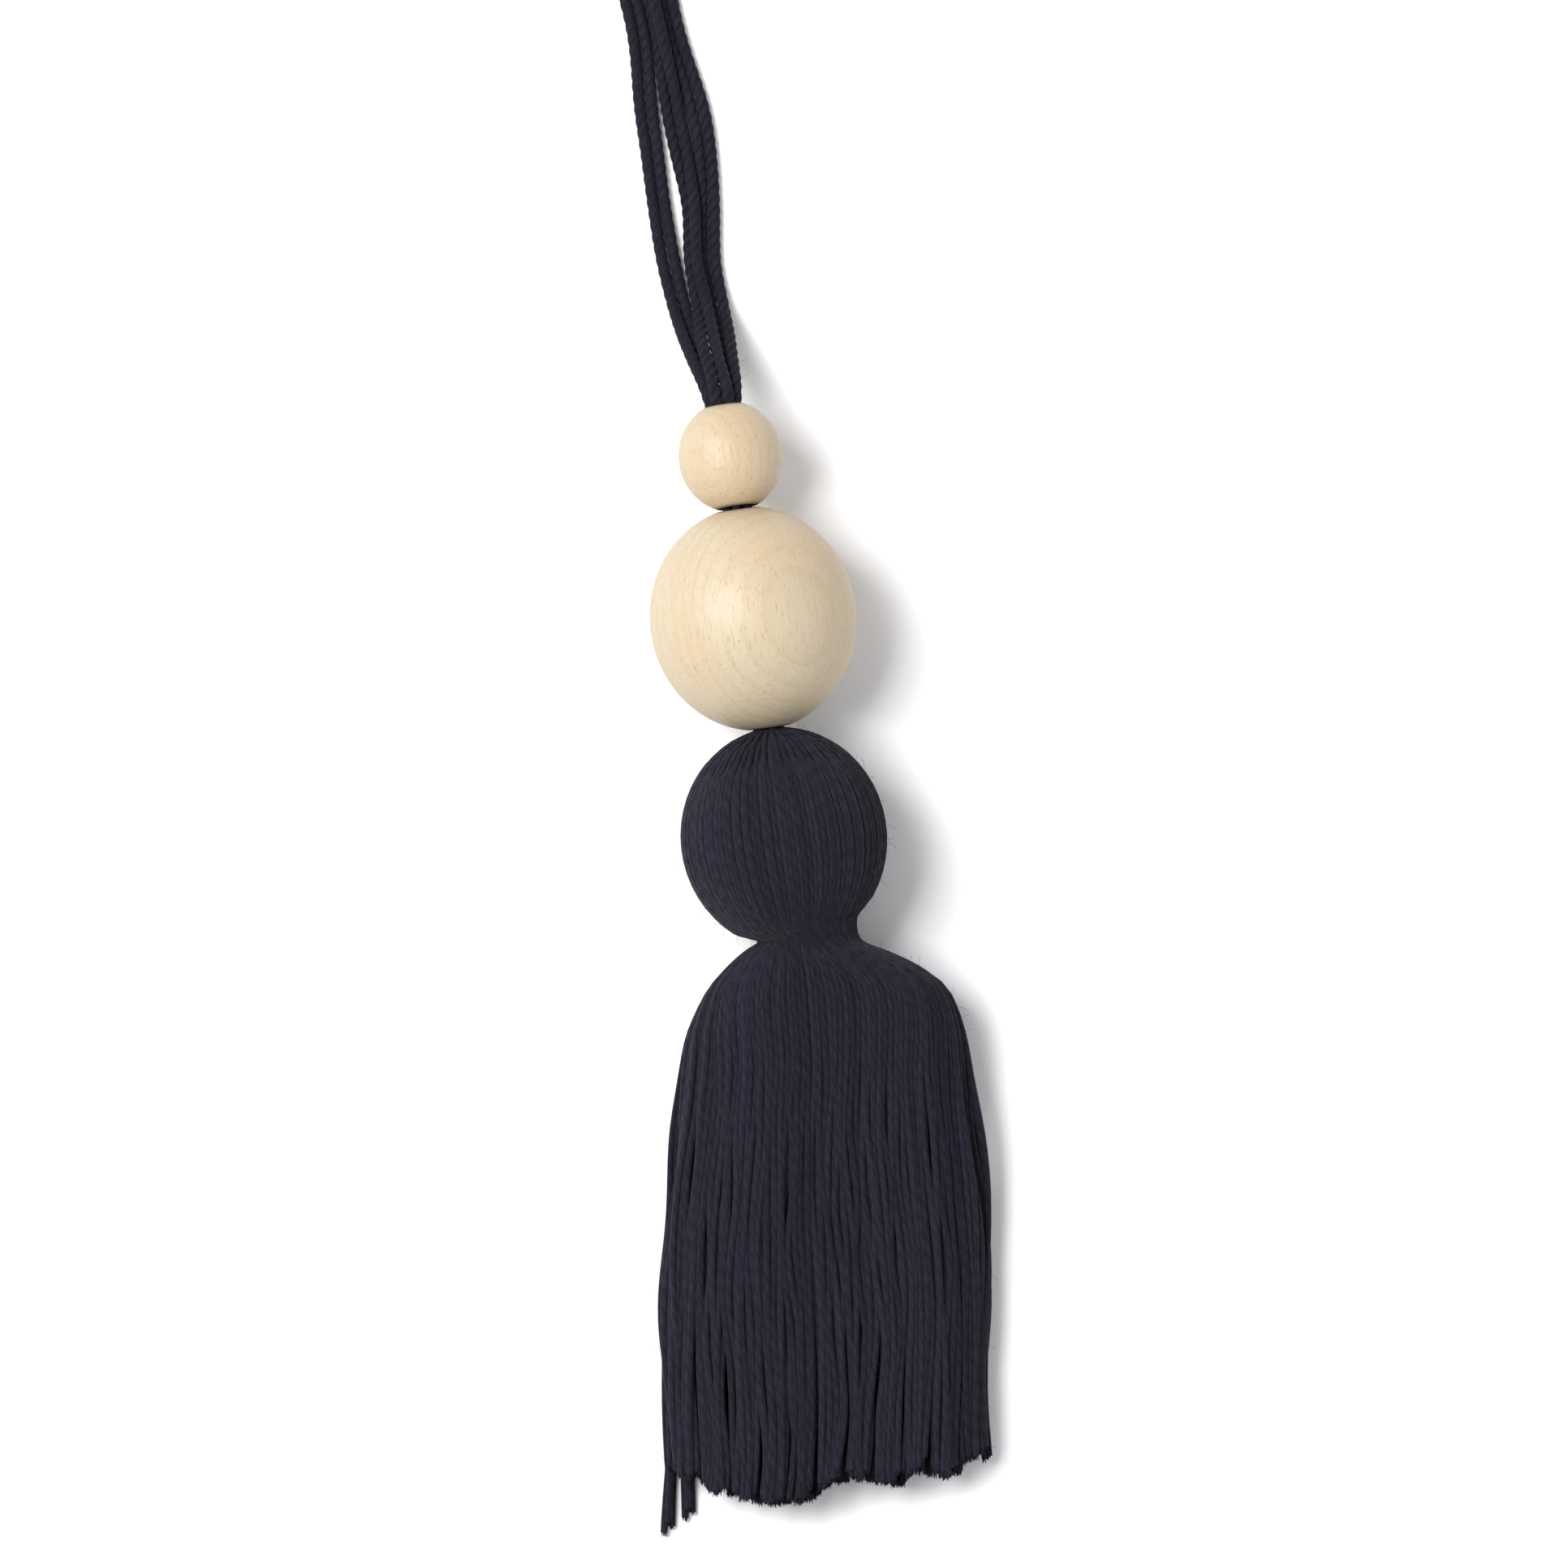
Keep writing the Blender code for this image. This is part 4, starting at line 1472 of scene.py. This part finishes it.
            point.z = max(point.z, wide / 2 + self.table_gap)
            line.append(point)
            thickness.append(wide * (self.cut_narrowing if down == end else 1))
        lines.add(line, thickness, tone)
        self.tips.append((line[-1], (line[-1] - line[-2]).normalized(), tone))

    def outer_lines(self) -> YarnLines:
        """Lays the strands that show, from the head's pole over the neck to their cut ends."""
        dice = random.Random(self.seed)
        lines = YarnLines()
        for i in range(self.outer_strands):
            angle = math.tau * (i + dice.uniform(-0.12, 0.12)) / self.outer_strands
            spot = Spot(angle % math.tau, slant=dice.uniform(-0.014, 0.014),
                        depth=dice.uniform(0, 0.16) * MM)
            start = self.outer_starts[i % len(self.outer_starts)]
            self.strand(lines, spot, start, self.outer_step, dice)
        return lines

    def under_lines(self) -> YarnLines:
        """Lays the layer that shows between the outer strands."""
        dice = random.Random(self.seed + 5)
        lines = YarnLines()
        for i in range(self.under_strands):
            angle = math.tau * (i + 0.5 + dice.uniform(-0.3, 0.3)) / self.under_strands
            spot = Spot(angle % math.tau, slant=dice.uniform(-0.03, 0.03),
                        depth=dice.uniform(0.4, 0.6) * MM)
            self.strand(lines, spot, self.under_start, self.under_step, dice)
        return lines

    def inner_lines(self) -> YarnLines:
        """Lays the strands inside the skirt, from the neck to their cut ends."""
        dice = random.Random(self.seed + 1)
        golden = math.pi * (3 - math.sqrt(5))
        lines = YarnLines()
        for i in range(self.inner_strands):
            out = self.inner_out * math.sqrt((i + 0.5) / self.inner_strands)
            angle = (i * golden + dice.uniform(-0.05, 0.05)) % math.tau
            self.strand(lines, Spot(angle, out), self.neck + self.inner_start, self.inner_step,
                        dice)
        return lines

    def loose_lines(self) -> YarnLines:
        """Lays the few strands that bow out of the skirt's sides, and the long threads."""
        dice = random.Random(self.seed + 2)
        lines = YarnLines()
        for angle, bow in self.strays:
            self.strand(lines, Spot(angle, bow=bow * MM), self.neck + self.loose_start,
                        self.outer_step, dice)
        start_y, start_z = self.long_start
        for leaving, end_x, end_y, height in self.long_threads:
            line = []
            for i in range(self.long_points + 1):
                share = i / self.long_points
                bend = self.long_bend * math.sin(math.tau * share + leaving)
                line.append(Vector((
                    (leaving + (end_x - leaving) * share ** 2) * MM + bend,
                    start_y + (end_y * MM - start_y) * share,
                    start_z + (height * MM - start_z) * smooth_step(share * 1.2))))
            lines.add(line, [self.thickness] * len(line), dice.random())
            self.tips.append((line[-1], (line[-1] - line[-2]).normalized(), 0.5))
        return lines

    def frayed_lines(self) -> YarnLines:
        """Lays the fine fibres that come loose at every cut end."""
        dice = random.Random(self.seed + 3)
        lines = YarnLines()
        for tip, way, tone in self.tips:
            for _ in range(self.frayed_fibres):
                aside = Vector((dice.uniform(-1, 1), 0, dice.uniform(-1, 1))) * self.fray_aside
                reach = dice.uniform(*self.fray_reach)
                line = [tip - way * self.fray_root + aside, tip + aside + way * reach * 0.5,
                        tip + aside * dice.uniform(0.9, 1.6) + way * reach]
                for point in line:
                    point.z = max(point.z, self.fray_lowest)
                lines.add(line, list(self.fray_thickness), tone)
        return lines

    def core(self, finish: Material) -> Object:
        """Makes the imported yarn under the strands, from the head's pole to the shoulders."""
        last = self.neck + self.core_reach
        angles = [math.tau * (step + 0.5) / self.core_around for step in range(self.core_around)]
        rings = []
        for i in range(self.core_rings + 1):
            row = self.station(last * i / self.core_rings)
            rings.append([self.place(row, math.cos(angle), 1.0 if angle < math.pi else -1.0,
                                     self.core_inset) for angle in angles])
        mesh = skin("packed_yarn", rings, joined=False)
        mesh.materials.append(finish)
        return dress(put_in_scene("packed_yarn", mesh), Slot.YARN, "tassel")

    def build(self, tree: NodeTree, finish: Material) -> list[Object]:
        """Makes the whole hank.

        Args:
            tree: the tree from yarn_tree.
            finish: the yarn's material.

        Returns:
            The pieces, the outermost strands first.
        """
        made = []
        for name, lines, sides in (("head_and_outer_skirt", self.outer_lines(), self.sides),
                                   ("under_layer", self.under_lines(), self.under_sides),
                                   ("inner_skirt", self.inner_lines(), self.inner_sides),
                                   ("loose_strands", self.loose_lines(), self.sides),
                                   ("frayed_ends", self.frayed_lines(), self.fray_sides)):
            piece = lines.yarn(name, tree, Sides=sides, Finish=finish)
            made.append(dress(piece, Slot.YARN, "tassel"))
        self.core(finish)
        return made


@dataclass
class StrayFibres:
    """Short fibres that stand off the yarn."""

    tree: NodeTree
    finish: Material
    length: float = 1.5 * MM
    thickness: float = 0.035 * MM
    lowest: float = 1.8 * MM
    per_square_metre: float = 130000

    def grow(self, yarn: Object, name: str, seed: int) -> Object:
        """Grows the fibres on one piece.

        Args:
            yarn: the piece that they grow on.
            name: the new piece's name.
            seed: the seed of chance.

        Returns:
            The fibres.
        """
        values = {"Fibres per Square Metre": self.per_square_metre, "Length": self.length,
                  "Thickness": self.thickness, "Lowest Point": self.lowest, "Seed": seed,
                  "Finish": self.finish}
        return dress(apply_tree(yarn, self.tree, values, name), Slot.YARN)


@dataclass
class Studio:
    """The camera straight above, the soft light from the upper left, and the pale floor."""

    view_centre: tuple[float, float] = (0.0 * MM, 6.5 * MM)
    view_width: float = 190 * MM
    camera_height: float = 2.4
    sensor_width: float = 36.0
    clip_range: tuple[float, float] = (0.01, 20.0)
    floor_size: float = 4.0
    key_place: tuple[float, float, float] = (-0.46, 0.2, 0.88)
    key_power: float = 12.2
    key_size: float = 0.5
    fill_place: tuple[float, float, float] = (0.6, -0.3, 0.8)
    fill_power: float = 1.5
    fill_size: float = 0.8
    sky_colour: Colour = (0.96, 0.97, 1.0)
    sky: float = 0.51

    def camera(self) -> None:
        """Makes the camera, level with the photograph's edges."""
        data = bpy.data.cameras.new("camera")
        data.sensor_width = self.sensor_width
        data.lens = self.sensor_width * self.camera_height / self.view_width
        data.clip_start, data.clip_end = self.clip_range
        made = put_in_scene("camera", data)
        made.location = (*self.view_centre, self.camera_height)
        bpy.context.scene.camera = made

    def light(self, name: str, place: tuple, power: float, size: float) -> None:
        """Makes a square soft light that faces the object.

        Args:
            name: its name.
            place: where it stands.
            power: its power in watts.
            size: its side.
        """
        data = bpy.data.lights.new(name, "AREA")
        data.energy = power
        data.size = size
        made = put_in_scene(name, data)
        made.location = place
        made.rotation_euler = (-Vector(place)).to_track_quat("-Z", "Y").to_euler()

    def floor(self) -> None:
        """Makes the floor."""
        half = self.floor_size / 2
        mesh = bpy.data.meshes.new("floor")
        corners = [(-half, -half, 0), (half, -half, 0), (half, half, 0), (-half, half, 0)]
        mesh.from_pydata(corners, [], [(0, 1, 2, 3)])
        mesh.materials.append(FloorFinish().material())
        put_in_scene("floor", mesh)

    def world(self) -> None:
        """Lights the scene evenly with a pale sky."""
        world = bpy.data.worlds.new("sky")
        world.use_nodes = True
        back = world.node_tree.nodes["Background"]
        back.inputs[0].default_value = (*self.sky_colour, 1)
        back.inputs[1].default_value = self.sky
        bpy.context.scene.world = world

    def build(self) -> None:
        """Sets up the camera, the lights and the floor."""
        bpy.context.scene.view_settings.view_transform = "Standard"
        self.camera()
        self.light("key", self.key_place, self.key_power, self.key_size)
        self.light("fill", self.fill_place, self.fill_power, self.fill_size)
        self.floor()
        self.world()


def main() -> None:
    """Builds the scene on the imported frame."""
    logging.basicConfig(level=logging.INFO, format="%(name)s %(message)s")
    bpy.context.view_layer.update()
    Studio().build()

    stack = Stack()
    tubes = yarn_tree()
    spun = yarn_effect()
    sanded = wood_effect()
    hank = YarnFinish("hank_yarn").material(spun)
    thread = YarnFinish("hanging_thread", plies=3.0, turns_per_metre=0.0,
                        groove_painted_shade=0.7, bump_height=0.05 * MM).material(spun)

    threads = HangingThreads(stack)
    loops = threads.build_loops(tubes, thread)
    threads.build_bundle(tubes, thread)
    WoodenBead("bead_large", stack.large_radius, stack.large_half, stack.large_centre,
               stack.axis, stack, seed=4).build(
        WoodFinish("large_bead_wood", pith_place=(0.034, -0.045, 0.004), blush=0.4),
        sanded, "large_bead")
    WoodenBead("bead_small", stack.small_radius, stack.small_half, stack.small_centre,
               stack.dipped_axis, stack, around=64, lengthways=36, seed=9).build(
        WoodFinish("small_bead_wood", pith_place=(-0.02, -0.034, 0.002), ring_gap=1.3 * MM,
                   blush=0.5),
        sanded, "small_bead")
    hank_pieces = YarnTassel(stack).build(tubes, hank)

    fibres = StrayFibres(fibre_tree(), hank)
    fibres.grow(hank_pieces[0], "fibres_on_tassel", seed=21)
    short = StrayFibres(fibres.tree, hank, length=0.9 * MM, lowest=1.4 * MM,
                        per_square_metre=450000)
    for number, loop in enumerate(loops):
        short.grow(loop, f"fibres_on_loop_{number + 1}", seed=31 + number)


if __name__ == "__main__":
    main()
